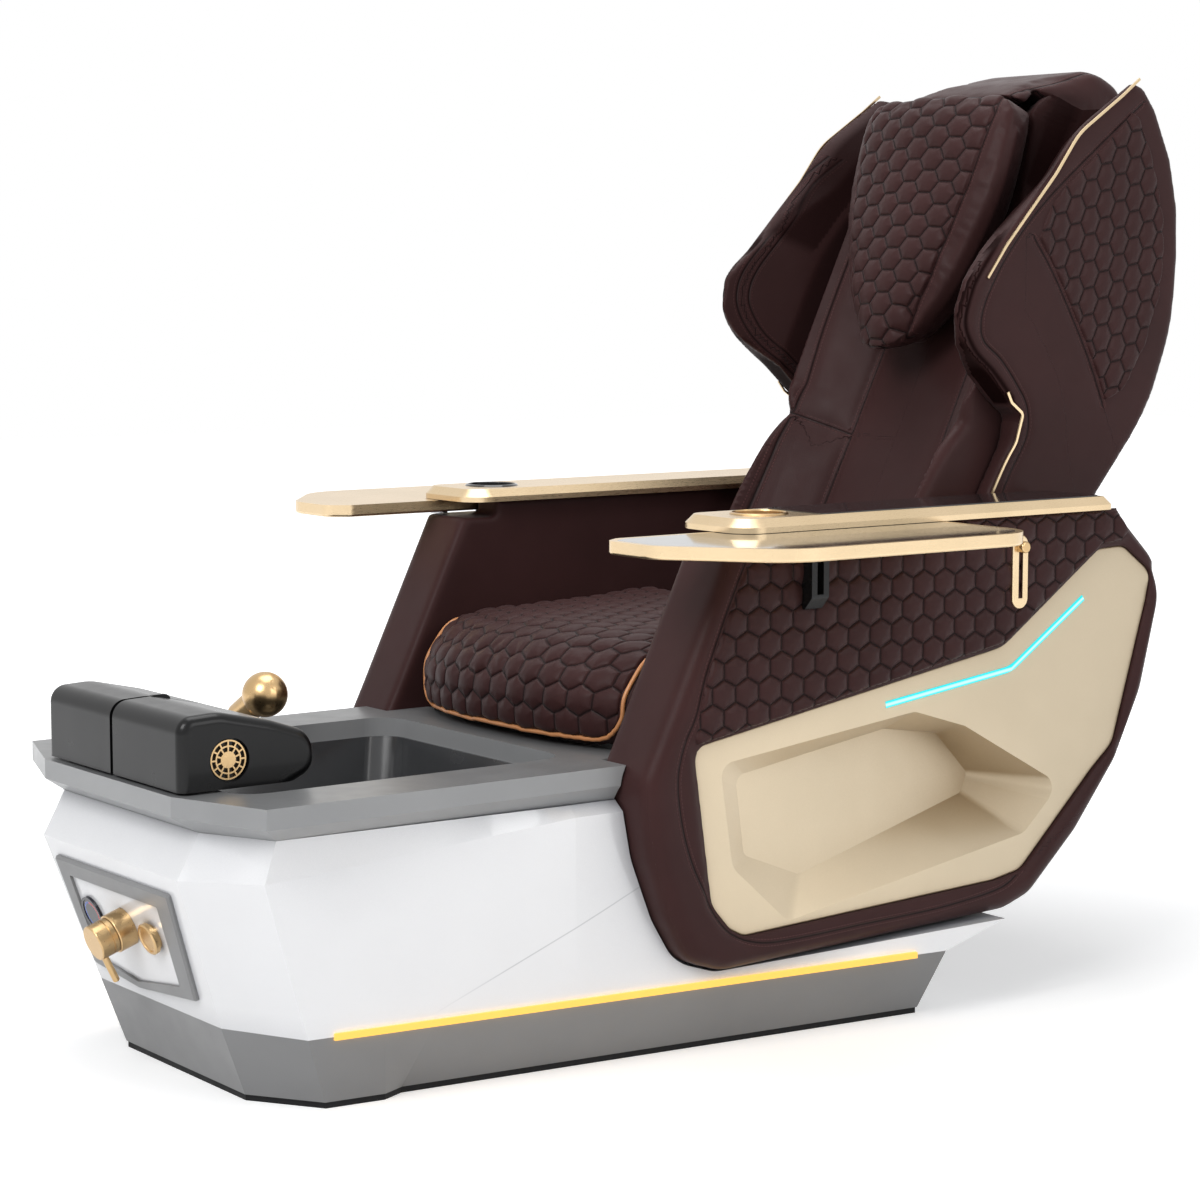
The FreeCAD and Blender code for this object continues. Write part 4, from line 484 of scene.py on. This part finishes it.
def paint_nodes():
    slots = {row["node"]: row["material_slot"] for row in frame["record"]["subparts"]}
    for name, node in NODES.items():
        node.data.materials.clear()
        node.data.materials.append(LOOKS[slots[name]])


# ---------------------------------------------------------------- soft pieces: tools

MM = 0.001
LEAN = math.radians(26)
# The back's own frame starts here, in metres.
BACK_Y, BACK_Z = 0.514, 0.543
SWELL_FRAMES = 20
# How far a quilt lies over its cushion, and how deep its border is tucked in, in mm.
QUILT_LIFT, QUILT_TUCK = 0.9, 2.0
QUILT_STEP = 2.0
# The distance in mm that stands for no seam near.
NO_SEAM = 500.0


def points_of(mesh):
    spots = np.empty(len(mesh.vertices) * 3)
    mesh.vertices.foreach_get("co", spots)
    return spots.reshape(-1, 3)


def normals_of(mesh):
    flat = np.empty(len(mesh.vertices) * 3)
    mesh.vertex_normals.foreach_get("vector", flat)
    return flat.reshape(-1, 3)


def place_points(mesh, spots):
    mesh.vertices.foreach_set("co", np.ascontiguousarray(spots, dtype=float).ravel())
    mesh.update()


def mark(mesh, name, values):
    """Keep one number per point, which a material reads as an attribute."""
    layer = mesh.attributes.get(name) or mesh.attributes.new(name, "FLOAT", "POINT")
    layer.data.foreach_set("value", np.ascontiguousarray(values, dtype=np.float32))


def baked(obj):
    """Apply the modifiers of an object."""
    graph = bpy.context.evaluated_depsgraph_get()
    mesh = bpy.data.meshes.new_from_object(obj.evaluated_get(graph))
    obj.modifiers.clear()
    obj.data = mesh
    obj.data.shade_smooth()
    return obj


def core(name, node, voxel, passes):
    """A softened copy of a CAD solid, to be shaped and covered."""
    obj = link(bpy.data.objects.new(name, NODES[node].data.copy()))
    obj.data.materials.clear()
    remesh = obj.modifiers.new("remesh", "REMESH")
    remesh.mode, remesh.voxel_size = "VOXEL", voxel
    smooth = obj.modifiers.new("smooth", "SMOOTH")
    smooth.factor, smooth.iterations = 0.5, passes
    return baked(obj)


def plump(obj, pressure, cap):
    before = points_of(obj.data)
    cloth = obj.modifiers.new("cloth", "CLOTH")
    cloth.settings.quality = 4
    cloth.settings.use_pressure = True
    cloth.settings.uniform_pressure_force = pressure
    cloth.settings.effector_weights.gravity = 0
    cloth.point_cache.frame_start, cloth.point_cache.frame_end = 1, SWELL_FRAMES
    for frame_number in range(1, SWELL_FRAMES + 1):
        bpy.context.scene.frame_set(frame_number)
    baked(obj)
    bpy.context.scene.frame_set(1)
    moved = points_of(obj.data) - before
    far = np.maximum(np.linalg.norm(moved, axis=1), 1e-9)
    place_points(obj.data, before + moved * np.minimum(1, cap / far)[:, None])


def back_place(across, depth, rise):
    """Points of the leaning back, from mm in its own upright frame."""
    across, depth, rise = (np.asarray(v, dtype=float) * MM for v in (across, depth, rise))
    return np.stack([across + 0 * rise,
                     BACK_Y + math.sin(LEAN) * rise + math.cos(LEAN) * depth,
                     BACK_Z + math.cos(LEAN) * rise - math.sin(LEAN) * depth], axis=-1)


def back_frame(spots):
    """The same points' (across, depth, rise) in mm."""
    y, z = spots[:, 1] - BACK_Y, spots[:, 2] - BACK_Z
    return (spots[:, 0] / MM, (math.cos(LEAN) * y - math.sin(LEAN) * z) / MM,
            (math.sin(LEAN) * y + math.cos(LEAN) * z) / MM)


def eased(route, steps=8):
    """Smooth dense points through a few."""
    route = np.asarray(route, dtype=float)
    last = len(route) - 1
    fine = []
    for index in range(last):
        a, b = route[max(index - 1, 0)], route[index]
        c, d = route[index + 1], route[min(index + 2, last)]
        for step in range(steps):
            t = step / steps
            fine.append(0.5 * (2 * b + (c - a) * t + (2 * a - 5 * b + 4 * c - d) * t ** 2
                               + (3 * b - a - 3 * c + d) * t ** 3))
    fine.append(route[-1])
    return np.array(fine)


def stepped(share):
    """From 0 to 1 with a soft start and end."""
    return share * share * (3 - 2 * share)


def seam_fields(flat, routes):
    """Signed distance from each flat point to the nearest route, and the length run along it."""
    gap = np.full(len(flat), 1e6)
    run = np.zeros(len(flat))
    side = np.ones(len(flat))
    for route in routes:
        start = 0.0
        for a, b in zip(route[:-1], route[1:]):
            ab = b - a
            length = math.hypot(*ab)
            if length < 1e-9:
                continue
            rel = flat - a
            share = np.clip(rel @ ab / length ** 2, 0, 1)
            off = rel - share[:, None] * ab
            far = np.hypot(off[:, 0], off[:, 1])
            near = far < gap
            gap[near] = far[near]
            run[near] = start + share[near] * length
            side[near] = np.where(ab[0] * rel[near, 1] - ab[1] * rel[near, 0] >= 0, 1, -1)
            start += length
    return gap * side, run


def depth_inside(flat, corners):
    """Distance to the border of a closed outline, which is positive inside it."""
    corners = np.asarray(corners, dtype=float)
    loop = np.vstack([corners, corners[:1]])
    gap, _ = seam_fields(flat, [loop])
    inside = np.zeros(len(flat), dtype=bool)
    for a, b in zip(loop[:-1], loop[1:]):
        crosses = (a[1] > flat[:, 1]) != (b[1] > flat[:, 1])
        rise = b[1] - a[1] if b[1] != a[1] else 1e-9
        inside ^= crosses & (flat[:, 0] < (b[0] - a[0]) * (flat[:, 1] - a[1]) / rise + a[0])
    return np.where(inside, np.abs(gap), -np.abs(gap))


def sew(obj, flat, routes, where, width, depth):
    """Draw the cover in along seams (mm), and hand the seam and its stitches to the material."""
    gap, run = seam_fields(flat, routes)
    gap = np.where(where, gap, NO_SEAM)
    spots, lean = points_of(obj.data), normals_of(obj.data)
    place_points(obj.data, spots - lean * (depth * MM * np.exp(-(gap / width) ** 2))[:, None])
    mark(obj.data, "seam", 1 + gap * MM)
    mark(obj.data, "run", run * MM)


def hexagons(u, v, wide, pitch, centre):
    """Hexagon coordinates: widths across and pairs of rows up, every other row shifted by half."""
    return (u - centre[0]) / wide, (v - centre[1]) / (2 * pitch)


def puffed(cells, tall):
    """Height of hexagons that swell between their borders."""
    across, upward = (np.abs(c - np.round(c)) for c in cells)
    reach = np.minimum(np.maximum(across, across / 2 + upward * 1.5),
                       np.maximum(0.5 - across, (0.5 - across) / 2 + (0.5 - upward) * 1.5))
    return tall * (1 - (2 * reach) ** 2.6)


def relaxed(grid, passes):
    """Even out a grid of points, which has nan where nothing was hit."""
    for _ in range(passes):
        total = np.zeros_like(grid)
        count = np.zeros(grid.shape[:2])
        for axis, step in ((0, 1), (0, -1), (1, 1), (1, -1)):
            moved = np.roll(grid, step, axis)
            known = ~np.isnan(moved[..., 0])
            total += np.where(known[..., None], moved, 0)
            count += known
        grid = np.where((count == 4)[..., None], 0.5 * grid + 0.5 * total / 4, grid)
    return grid


def cast(obj, starts, aims):
    """Where rays meet an object, with nan for a miss."""
    tree = BVHTree.FromObject(obj, bpy.context.evaluated_depsgraph_get())
    hits = np.full((len(starts), 3), np.nan)
    for index, (start, aim) in enumerate(zip(starts, aims)):
        if start[0] == start[0]:
            spot = tree.ray_cast(Vector(start), Vector(aim))[0]
            if spot is not None:
                hits[index] = spot
    return hits


def facing(grid):
    """Outward direction at each point of a grid."""
    lean = np.cross(np.gradient(grid, axis=1), np.gradient(grid, axis=0))
    return lean / np.maximum(np.linalg.norm(lean, axis=2, keepdims=True), 1e-12)


def between(grid, column, row):
    """Values of a grid at fractional columns and rows."""
    left = np.clip(column.astype(int), 0, grid.shape[1] - 2)
    low = np.clip(row.astype(int), 0, grid.shape[0] - 2)
    s, t = (column - left)[:, None], (row - low)[:, None]
    return ((grid[low, left] * (1 - s) + grid[low, left + 1] * s) * (1 - t)
            + (grid[low + 1, left] * (1 - s) + grid[low + 1, left + 1] * s) * t)


def quilt(name, parent, grid, inside, cells, tall, look="leather_brown"):
    """A stitched cover over part of a cushion, from a grid of points, whose border is tucked in."""
    height = puffed(cells, tall)
    grid = relaxed(grid, 6)
    lean = facing(grid)
    share = stepped(np.clip((inside + 0.5) / 4.5, 0, 1))
    offset = (QUILT_LIFT + height) * share - QUILT_TUCK * (1 - share)
    spots = grid + lean * (offset * MM)[..., None]
    good = ~np.isnan(spots[..., 0]) & (inside > -2.5)
    number = np.full(good.shape, -1)
    number[good] = np.arange(good.sum())
    whole = good[:-1, :-1] & good[1:, :-1] & good[:-1, 1:] & good[1:, 1:]
    quads = np.stack([number[:-1, :-1][whole], number[:-1, 1:][whole], number[1:, 1:][whole],
                      number[1:, :-1][whole]], axis=1)
    mesh = bpy.data.meshes.new(name)
    mesh.from_pydata(spots[good].tolist(), [], quads.tolist())
    mesh.shade_smooth()
    mark(mesh, "hex_across", cells[0][good])
    mark(mesh, "hex_up", cells[1][good])
    obj = link(bpy.data.objects.new(name, mesh))
    mesh.materials.append(LOOKS[look])
    obj.parent = parent
    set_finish(obj, look)
    return obj


def welt(name, parent, route, radius, look):
    """A round piping cord along a route of points in metres."""
    curve = bpy.data.curves.new(name, "CURVE")
    curve.dimensions = "3D"
    curve.bevel_depth, curve.bevel_resolution = radius, 3
    curve.use_fill_caps = True
    spline = curve.splines.new("POLY")
    spline.points.add(len(route) - 1)
    for point, spot in zip(spline.points, route):
        point.co = (*spot, 1)
    # It becomes a mesh, because a curve's bounding box is padded by its point radius.
    cord = link(bpy.data.objects.new(name, curve))
    graph = bpy.context.evaluated_depsgraph_get()
    mesh = bpy.data.meshes.new_from_object(cord.evaluated_get(graph))
    bpy.data.objects.remove(cord)
    mesh.shade_smooth()
    mesh.materials.clear()
    mesh.materials.append(LOOKS[look])
    link(bpy.data.objects.new(name, mesh)).parent = parent


def settle(obj, body, look, *nodes, fill):
    """Put a soft piece on its body, in place of the CAD solids that it covers."""
    obj.data.materials.clear()
    obj.data.materials.append(LOOKS[look])
    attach(obj, body)
    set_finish(obj, look)
    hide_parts(*nodes)


def far_side(obj, name, parent=None):
    """The same piece on the other side of the chair."""
    data = obj.data.copy()
    spots = points_of(data)
    spots[:, 0] *= -1
    data.flip_normals()
    place_points(data, spots)
    other = link(bpy.data.objects.new(name, data))
    if parent:
        other.parent = parent
        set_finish(other, obj["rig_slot"])
    return other


def laid_out(low, high, outline):
    """Rows and columns of flat coordinates in mm, and how far each is inside an outline."""
    u, v = np.meshgrid(*(np.arange(first, last, QUILT_STEP) for first, last in zip(low, high)))
    return u, v, depth_inside(np.stack([u.ravel(), v.ravel()], 1), outline).reshape(u.shape)


def cast_grid(obj, starts, aim, left_out):
    """A grid of points on an object, from parallel rays."""
    starts[left_out.ravel()] = np.nan
    return cast(obj, starts, np.tile(aim, (len(starts), 1))).reshape(*left_out.shape, 3)


# ---------------------------------------------------------------- side panels

PANEL_SEAM = [(162, 750), (150, 718), (131, 679), (104, 620), (77, 556), (61, 503), (40, 462),
              (29, 414), (36, 353), (53, 297), (75, 253), (101, 209), (131, 181), (179, 163),
              (249, 160), (377, 164), (518, 168), (624, 178), (669, 188), (700, 206)]
PANEL_INSERT = [(60, 456), (655, 554), (858, 692), (915, 694), (979, 648), (969, 604),
                (900, 382), (853, 344), (703, 204), (645, 194), (155, 174), (128, 188),
                (93, 228)]
PANEL_QUILT = [(158, 727), (135, 679), (107, 620), (80, 556), (65, 503), (57, 470), (64, 461),
               (655, 561), (857, 699), (902, 702), (918, 716), (890, 752), (566, 752),
               (566, 727)]


# In metres: the plane of the quilted part, and the groove round the gold insert.
PANEL_FACE, PANEL_GROOVE = 0.4035, 0.0030


def make_panels():
    left = core("panel_cover_left", "panel_left", 0.0055, 3)
    spots = points_of(left.data)
    flat = spots[:, 1:] / MM
    outer = (normals_of(left.data)[:, 0] > 0.5) & (spots[:, 0] > 0.385)
    inside = depth_inside(flat, PANEL_QUILT)
    sew(left, flat, [eased(PANEL_SEAM)], outer, width=9.0, depth=1.8)
    sunk = outer & (inside > 6)
    rim = np.abs(depth_inside(flat, PANEL_INSERT))
    spots = points_of(left.data)
    spots[sunk, 0] -= PANEL_GROOVE
    spots[:, 0] -= np.where(outer & ~sunk, PANEL_GROOVE * np.clip((13 - rim) / 6, 0, 1), 0)
    place_points(left.data, spots)
    settle(left, "root", "leather_brown", "panel_left", fill=0.95)
    u, v, inside = laid_out((50, 452), (930, 756), PANEL_QUILT)
    face = np.stack([np.full(u.shape, PANEL_FACE), u * MM, v * MM], axis=-1)
    grid = np.where((inside > -3)[..., None], face, np.nan)
    cells = hexagons(u, v, 41.8, 33.2, (150, 661))
    cover = quilt("panel_quilt_left", left, grid, inside, cells, 5.0)
    right = far_side(left, "panel_cover_right")
    settle(right, "root", "leather_brown", "panel_right", fill=0.95)
    far_side(cover, "panel_quilt_right", right)


# ---------------------------------------------------------------- seat

# In mm: half the quilted top's width, its lower edge, its corners' radius and its grid's step.
SEAT_HALF, SEAT_LOW, SEAT_CORNER, SEAT_STEP = 258, 2, 46.0, 2.3
SEAT_REACH = 260
SEAT_BAR = np.array([0.130, 0.500])
PIPING_RAISE, PIPING_RADIUS = 0.0022, 0.0034


def make_seat():
    seat = core("seat_cover", "seat_cushion", 0.0065, 6)
    plump(seat, 3.0, 0.009)
    settle(seat, "root", "leather_brown", "seat_cushion", fill=0.85)
    # The quilted cover lies on rays toward a bar inside, from the lower front up over the top.
    across = np.linspace(-SEAT_REACH, SEAT_REACH, 227)
    angles = np.radians(np.concatenate([np.arange(-36, 96, 1.0), np.arange(96, 170, 0.45)]))
    starts = np.array([[x * MM, SEAT_BAR[0] - 0.9 * math.cos(a), SEAT_BAR[1] + 0.9 * math.sin(a)]
                       for x in across for a in angles])
    aims = np.array([[0.0, math.cos(a), -math.sin(a)] for _ in across for a in angles])
    hits = cast(seat, starts, aims).reshape(len(across), len(angles), 3)
    lines = []
    for line in hits:
        line = line[~np.isnan(line[:, 0])]
        line = line[(line[:, 2] > 0.4485) | (line[:, 1] > 0.1)]
        line = line[line[:, 2] > 0.44]
        steps = np.linalg.norm(np.diff(line, axis=0), axis=1)
        length = np.concatenate([[0], np.cumsum(steps)]) / MM
        lines.append((line, length))
    longest = min(length[-1] for _, length in lines)
    marks = np.arange(0, longest, SEAT_STEP)
    grid = np.stack([np.stack([np.interp(marks, length, line[:, axis]) for axis in range(3)], 1)
                     for line, length in lines], axis=1)
    u, v = np.meshgrid(across, marks)
    side, low = np.abs(u) - SEAT_HALF + SEAT_CORNER, SEAT_LOW + SEAT_CORNER - v
    rounded = (SEAT_CORNER - np.hypot(np.maximum(side, 0), np.maximum(low, 0))
               - np.minimum(np.maximum(side, low), 0))
    inside = np.minimum(rounded, longest - SEAT_LOW - v)
    quilt("seat_quilt", seat, grid, inside, hexagons(u, v, 43.0, 36.0, (0, 22)), 4.4)
    # The piping follows the front edge, the rounded corners and the sides.
    turn = np.radians(np.arange(0, 91, 6))
    front = [(w, SEAT_LOW) for w in np.arange(0, SEAT_HALF - SEAT_CORNER, 6.0)]
    bend = np.stack([SEAT_HALF - SEAT_CORNER * (1 - np.sin(turn)),
                     SEAT_LOW + SEAT_CORNER * (1 - np.cos(turn))], 1)
    sides = [(SEAT_HALF, w) for w in np.arange(SEAT_LOW + SEAT_CORNER, longest, 6.0)]
    half = np.vstack([front, bend, sides])
    whole = np.vstack([half[:0:-1] * (-1, 1), half])
    column = (whole[:, 0] + SEAT_REACH) / (across[1] - across[0])
    row = whole[:, 1] / SEAT_STEP
    route = between(grid, column, row)
    lean = between(facing(grid), column, row)
    welt("seat_piping", seat, route + PIPING_RAISE * lean, PIPING_RADIUS, "piping_copper")


# ---------------------------------------------------------------- backrest

CUSHION_SEAMS = [[(-110, 30), (-112, 262), (-110, 398), (-108, 542), (-104, 640)],
                 [(110, 30), (112, 262), (110, 398), (108, 542), (104, 640)],
                 [(-222, 404), (-150, 400), (-110, 396)],
                 [(-196, 960), (-203, 755), (-204, 569), (-196, 404), (-200, 200), (-206, 40)],
                 [(196, 960), (203, 755), (204, 569), (196, 404), (200, 200), (206, 40)]]
# The depth of the cushion's front over its width, above and below the cross seam.
CUSHION_HIGH = ([0, 112, 150, 180, 200, 225], [115, 115, 88, 68, 56, 42])
CUSHION_LOW = ([0, 112, 150, 180, 198, 212], [115, 115, 84, 60, 40, 10])
CUSHION_HOLLOW = ([0, 132, 156, 225], [0, 0, 112, 112])
PILLOW_HALF, PILLOW_TOP, PILLOW_CORNER = 178, 936, 52.0
PILLOW_RISES = (487, 500, 555, 620, 700, 780, 870, 925, 938)
PILLOW_EDGES = (40, 26, 12, 0, -12, -24, -38, -40, -28)
PILLOW_HALVES = (45, 58, 93, 130, 162, 182, 186, 180, 171)
PILLOW_QUILT = [(-128, 932), (-150, 905), (-154, 860), (-146, 780), (-128, 700), (-100, 620),
                (-62, 545), (-46, 508), (44, 508), (60, 545), (90, 620), (112, 700), (130, 780),
                (142, 860), (146, 900), (140, 932)]
HOOD_SEAM = [(116, 930), (114, 1030), (112, 1100)]
WING_QUILT = [(84, 961), (61, 908), (33, 848), (6, 797), (-12, 747), (-12, 694), (51, 660),
              (158, 592), (247, 533), (268, 560), (278, 640), (272, 726), (251, 790), (222, 843),
              (181, 892), (128, 940), (100, 958)]
WING_SEAM = [(97, 980), (70, 930), (38, 870), (2, 800), (-22, 750), (-42, 700), (-58, 640),
             (-64, 600), (-63, 560), (-50, 528), (-27, 508), (21, 499), (75, 480), (112, 462),
             (140, 430), (147, 395), (145, 343), (145, 200), (145, 90)]
WING_CROSS_SEAM = [(-20, 690), (51, 654), (158, 586), (250, 526)]
TRIM_LINE = [(72, 1012), (50, 971), (-8, 875), (-24, 797), (-69, 652), (-82, 590), (-80, 560)]
WING_FOLDS = [[(60, 1000), (42, 971), (-16, 875), (-34, 797), (-62, 720), (-82, 652), (-96, 590),
               (-94, 556), (-76, 515), (-34, 490), (20, 478), (80, 460)],
              [(38, 962), (-24, 875), (-44, 797), (-74, 716), (-93, 650), (-108, 590),
               (-106, 550), (-88, 503), (-38, 479), (20, 467), (78, 449)]]
WING_LINING = [[(62, 985), (22, 910), (-30, 800), (-62, 700), (-90, 610), (-90, 555),
                (-66, 515), (-20, 486), (60, 466)],
               [(76, 985), (40, 918), (-14, 806), (-46, 706), (-72, 612), (-72, 562),
                (-52, 530), (-14, 504), (66, 484)]]


def shape_cushion(cushion):
    """Sit the centre deeper between the bolsters, and return how far each point lies in the hollow,
    for the painted shade there.
    """
    across, depth, rise = back_frame(points_of(cushion.data))
    wide = np.abs(across)
    share = np.clip((rise - 390) / 70, 0, 1)
    level = share * np.interp(wide, *CUSHION_HIGH) + (1 - share) * np.interp(wide, *CUSHION_LOW)
    level += 6 * np.exp(-((rise - 398) / 32) ** 2) * np.clip((wide - 112) / 30, 0, 1)
    level = np.minimum(level, 118)
    # Beside the pillow the bolsters end, which leaves a hollow under the hood; its darkness is
    # partly real shadow and partly painted shade.
    hollow = np.interp(wide, *CUSHION_HOLLOW) * np.clip((rise - 740) / 90, 0, 1)
    kept = np.clip((830 - rise) / 90, 0, 1)
    level = level * kept * (wide > 130) + level * (wide <= 130) * (rise < 700)
    level = np.maximum(level, hollow)
    depth = np.where(depth < 116, np.maximum(depth, level), depth)
    place_points(cushion.data, back_place(across, depth, rise))
    return np.clip((wide - 120) / 30, 0, 1) * np.clip((rise - 720) / 110, 0, 1)


def make_cushion():
    cushion = core("back_cover", "back_cushion", 0.0065, 5)
    hollow = shape_cushion(cushion)
    plump(cushion, 2.5, 0.007)
    across, depth, rise = back_frame(points_of(cushion.data))
    seams = [eased(route) for route in CUSHION_SEAMS]
    sew(cushion, np.stack([across, rise], 1), seams, depth < 128, 10.0, 2.6)
    # Painted shade in the hollow under the hood.
    mark(cushion.data, "painted_shade", hollow)
    settle(cushion, "back", "leather_brown", "back_cushion", fill=0.8)


def shape_pillow(pillow):
    """Round the top corners, narrow the rear, and let the underside rise to the cushion."""
    across, depth, rise = back_frame(points_of(pillow.data))
    behind = np.clip(depth - np.interp(rise, PILLOW_RISES, PILLOW_EDGES) - 22, 0, 70)
    across = across * (1 - 0.7 * behind / np.interp(rise, PILLOW_RISES, PILLOW_HALVES))
    low = np.clip((640 - rise) / 140, 0, 1)
    rise = rise + low ** 1.5 * np.clip(depth - 5, 0, 60) * 1.05
    over, up = np.abs(across) - (PILLOW_HALF - PILLOW_CORNER), rise - (PILLOW_TOP - PILLOW_CORNER)
    far = np.hypot(over, up)
    corner = (over > 0) & (up > 0) & (far > PILLOW_CORNER)
    share = np.where(corner, PILLOW_CORNER / np.maximum(far, 1), 1)
    rise = np.where(corner, PILLOW_TOP - PILLOW_CORNER + up * share, rise)
    turned = np.sign(across) * (PILLOW_HALF - PILLOW_CORNER + over * share)
    across = np.where(corner, turned, across)
    place_points(pillow.data, back_place(across, depth, rise))


def make_pillow():
    pillow = core("pillow_cover", "headrest_pillow", 0.0055, 6)
    shape_pillow(pillow)
    plump(pillow, 2.5, 0.004)
    across, depth, rise = back_frame(points_of(pillow.data))
    border = np.array(PILLOW_QUILT + PILLOW_QUILT[:1], dtype=float)
    sew(pillow, np.stack([across, rise], 1), [border], depth < 35, 8.0, 2.2)
    settle(pillow, "back", "leather_brown", "headrest_pillow", fill=0.9)
    u, v, inside = laid_out((-160, 500), (152, 932), PILLOW_QUILT)
    starts = back_place(u.ravel(), -300 + 0 * u.ravel(), v.ravel())
    aim = np.array([0, math.cos(LEAN), -math.sin(LEAN)])
    grid = cast_grid(pillow, starts, aim, inside <= -4)
    # These hexagons lie on their sides, with level edges above and below.
    quilt("pillow_quilt", pillow, grid, inside, hexagons(v, u, 37.0, 40.0, (686, 4)), 4.6)


def make_hood():
    hood = core("hood_cover", "headrest_hood", 0.006, 6)
    plump(hood, 2.5, 0.004)
    across, _, rise = back_frame(points_of(hood.data))
    seams = [eased([(side * x, z) for x, z in HOOD_SEAM]) for side in (-1, 1)]
    sew(hood, np.stack([across, rise], 1), seams, rise > 935, 7.0, 1.4)
    settle(hood, "back", "leather_brown", "headrest_hood", fill=0.85)


def shape_wing(wing):
    """Draw the ear in toward the trim, more so near its top, and return how far each point lies in
    the hollow, for the painted shade there.
    """
    across, depth, rise = back_frame(points_of(wing.data))
    route = np.array(TRIM_LINE, dtype=float)[::-1]
    line = np.interp(rise, route[:, 1], route[:, 0])
    share = 0.62 * stepped(np.clip((rise - 640) / 200, 0, 1)) * np.clip((1012 - rise) / 30, 0, 1)
    ahead = line - 7 - depth
    depth = np.where((ahead > 0) & (rise > 600), depth + ahead * share, depth)
    # Above the ear the front turns inward at a slant, so that it is slim beside the pillow.
    inward = np.clip((302 - np.abs(across)) / 76, 0, 1)
    high = stepped(np.clip((rise - 620) / 200, 0, 1))
    front = np.clip((line + 150 - depth) / 180, 0, 1)
    depth = depth + 56 * inward * high * front
    place_points(wing.data, back_place(across, depth, rise))
    return np.clip(4 * (inward - 0.12), 0, 1) * np.clip(4 * high, 0, 1) * (depth < line + 60)


def make_wings():
    wing = core("wing_cover_left", "wing_left", 0.0055, 8)
    hollow = shape_wing(wing)
    spots, lean = points_of(wing.data), normals_of(wing.data)
    _, depth, rise = back_frame(spots)
    flat = np.stack([depth, rise], 1)
    outer = lean[:, 0] > 0.25
    sew(wing, flat, [eased(WING_SEAM), eased(WING_CROSS_SEAM)], outer, 7.0, 2.2)
    folds, _ = seam_fields(flat, [eased(route) for route in WING_FOLDS])
    folds = np.where((lean[:, 0] > -0.1) & (depth < 140), folds, NO_SEAM)
    sunk = points_of(wing.data) - lean * (3.2 * MM * np.exp(-(folds / 5.5) ** 2))[:, None]
    place_points(wing.data, sunk)
    mark(wing.data, "fold", 1 + folds * MM)
    # Painted shade on the inner face and on the front that slants in beside the pillow.
    mark(wing.data, "painted_shade", np.maximum(0.55 * np.clip(-lean[:, 0] * 2 - 0.4, 0, 1), hollow))
    # The inner face has seams of its own, in place of those that the outer face has there.
    gap, run = seam_fields(flat, [eased(route) for route in WING_LINING])
    inner = (lean[:, 0] < -0.25) & (rise < 860)
    layer = np.empty(len(flat))
    for name, values in (("seam", 1 + gap * MM), ("run", run * MM)):
        wing.data.attributes[name].data.foreach_get("value", layer)
        mark(wing.data, name, np.where(inner, values, layer))
    settle(wing, "back", "leather_brown", "wing_left", fill=0.9)
    u, v, inside = laid_out((-20, 520), (290, 970), WING_QUILT)
    starts = back_place(500 + 0 * u.ravel(), u.ravel(), v.ravel())
    grid = cast_grid(wing, starts, np.array([-1.0, 0, 0]), inside < -4)
    cells = hexagons(u, v, 36.0, 38.0, (112, 690))
    cover = quilt("wing_quilt_left", wing, grid, inside, cells, 4.4)
    right = far_side(wing, "wing_cover_right")
    settle(right, "back", "leather_brown", "wing_right", fill=0.9)
    far_side(cover, "wing_quilt_right", right)


make_camera()
make_world()
make_lamps()
make_floor()
paint_nodes()
make_panels()
make_seat()
make_cushion()
make_pillow()
make_hood()
make_wings()

bpy.context.scene.view_settings.view_transform = "Standard"
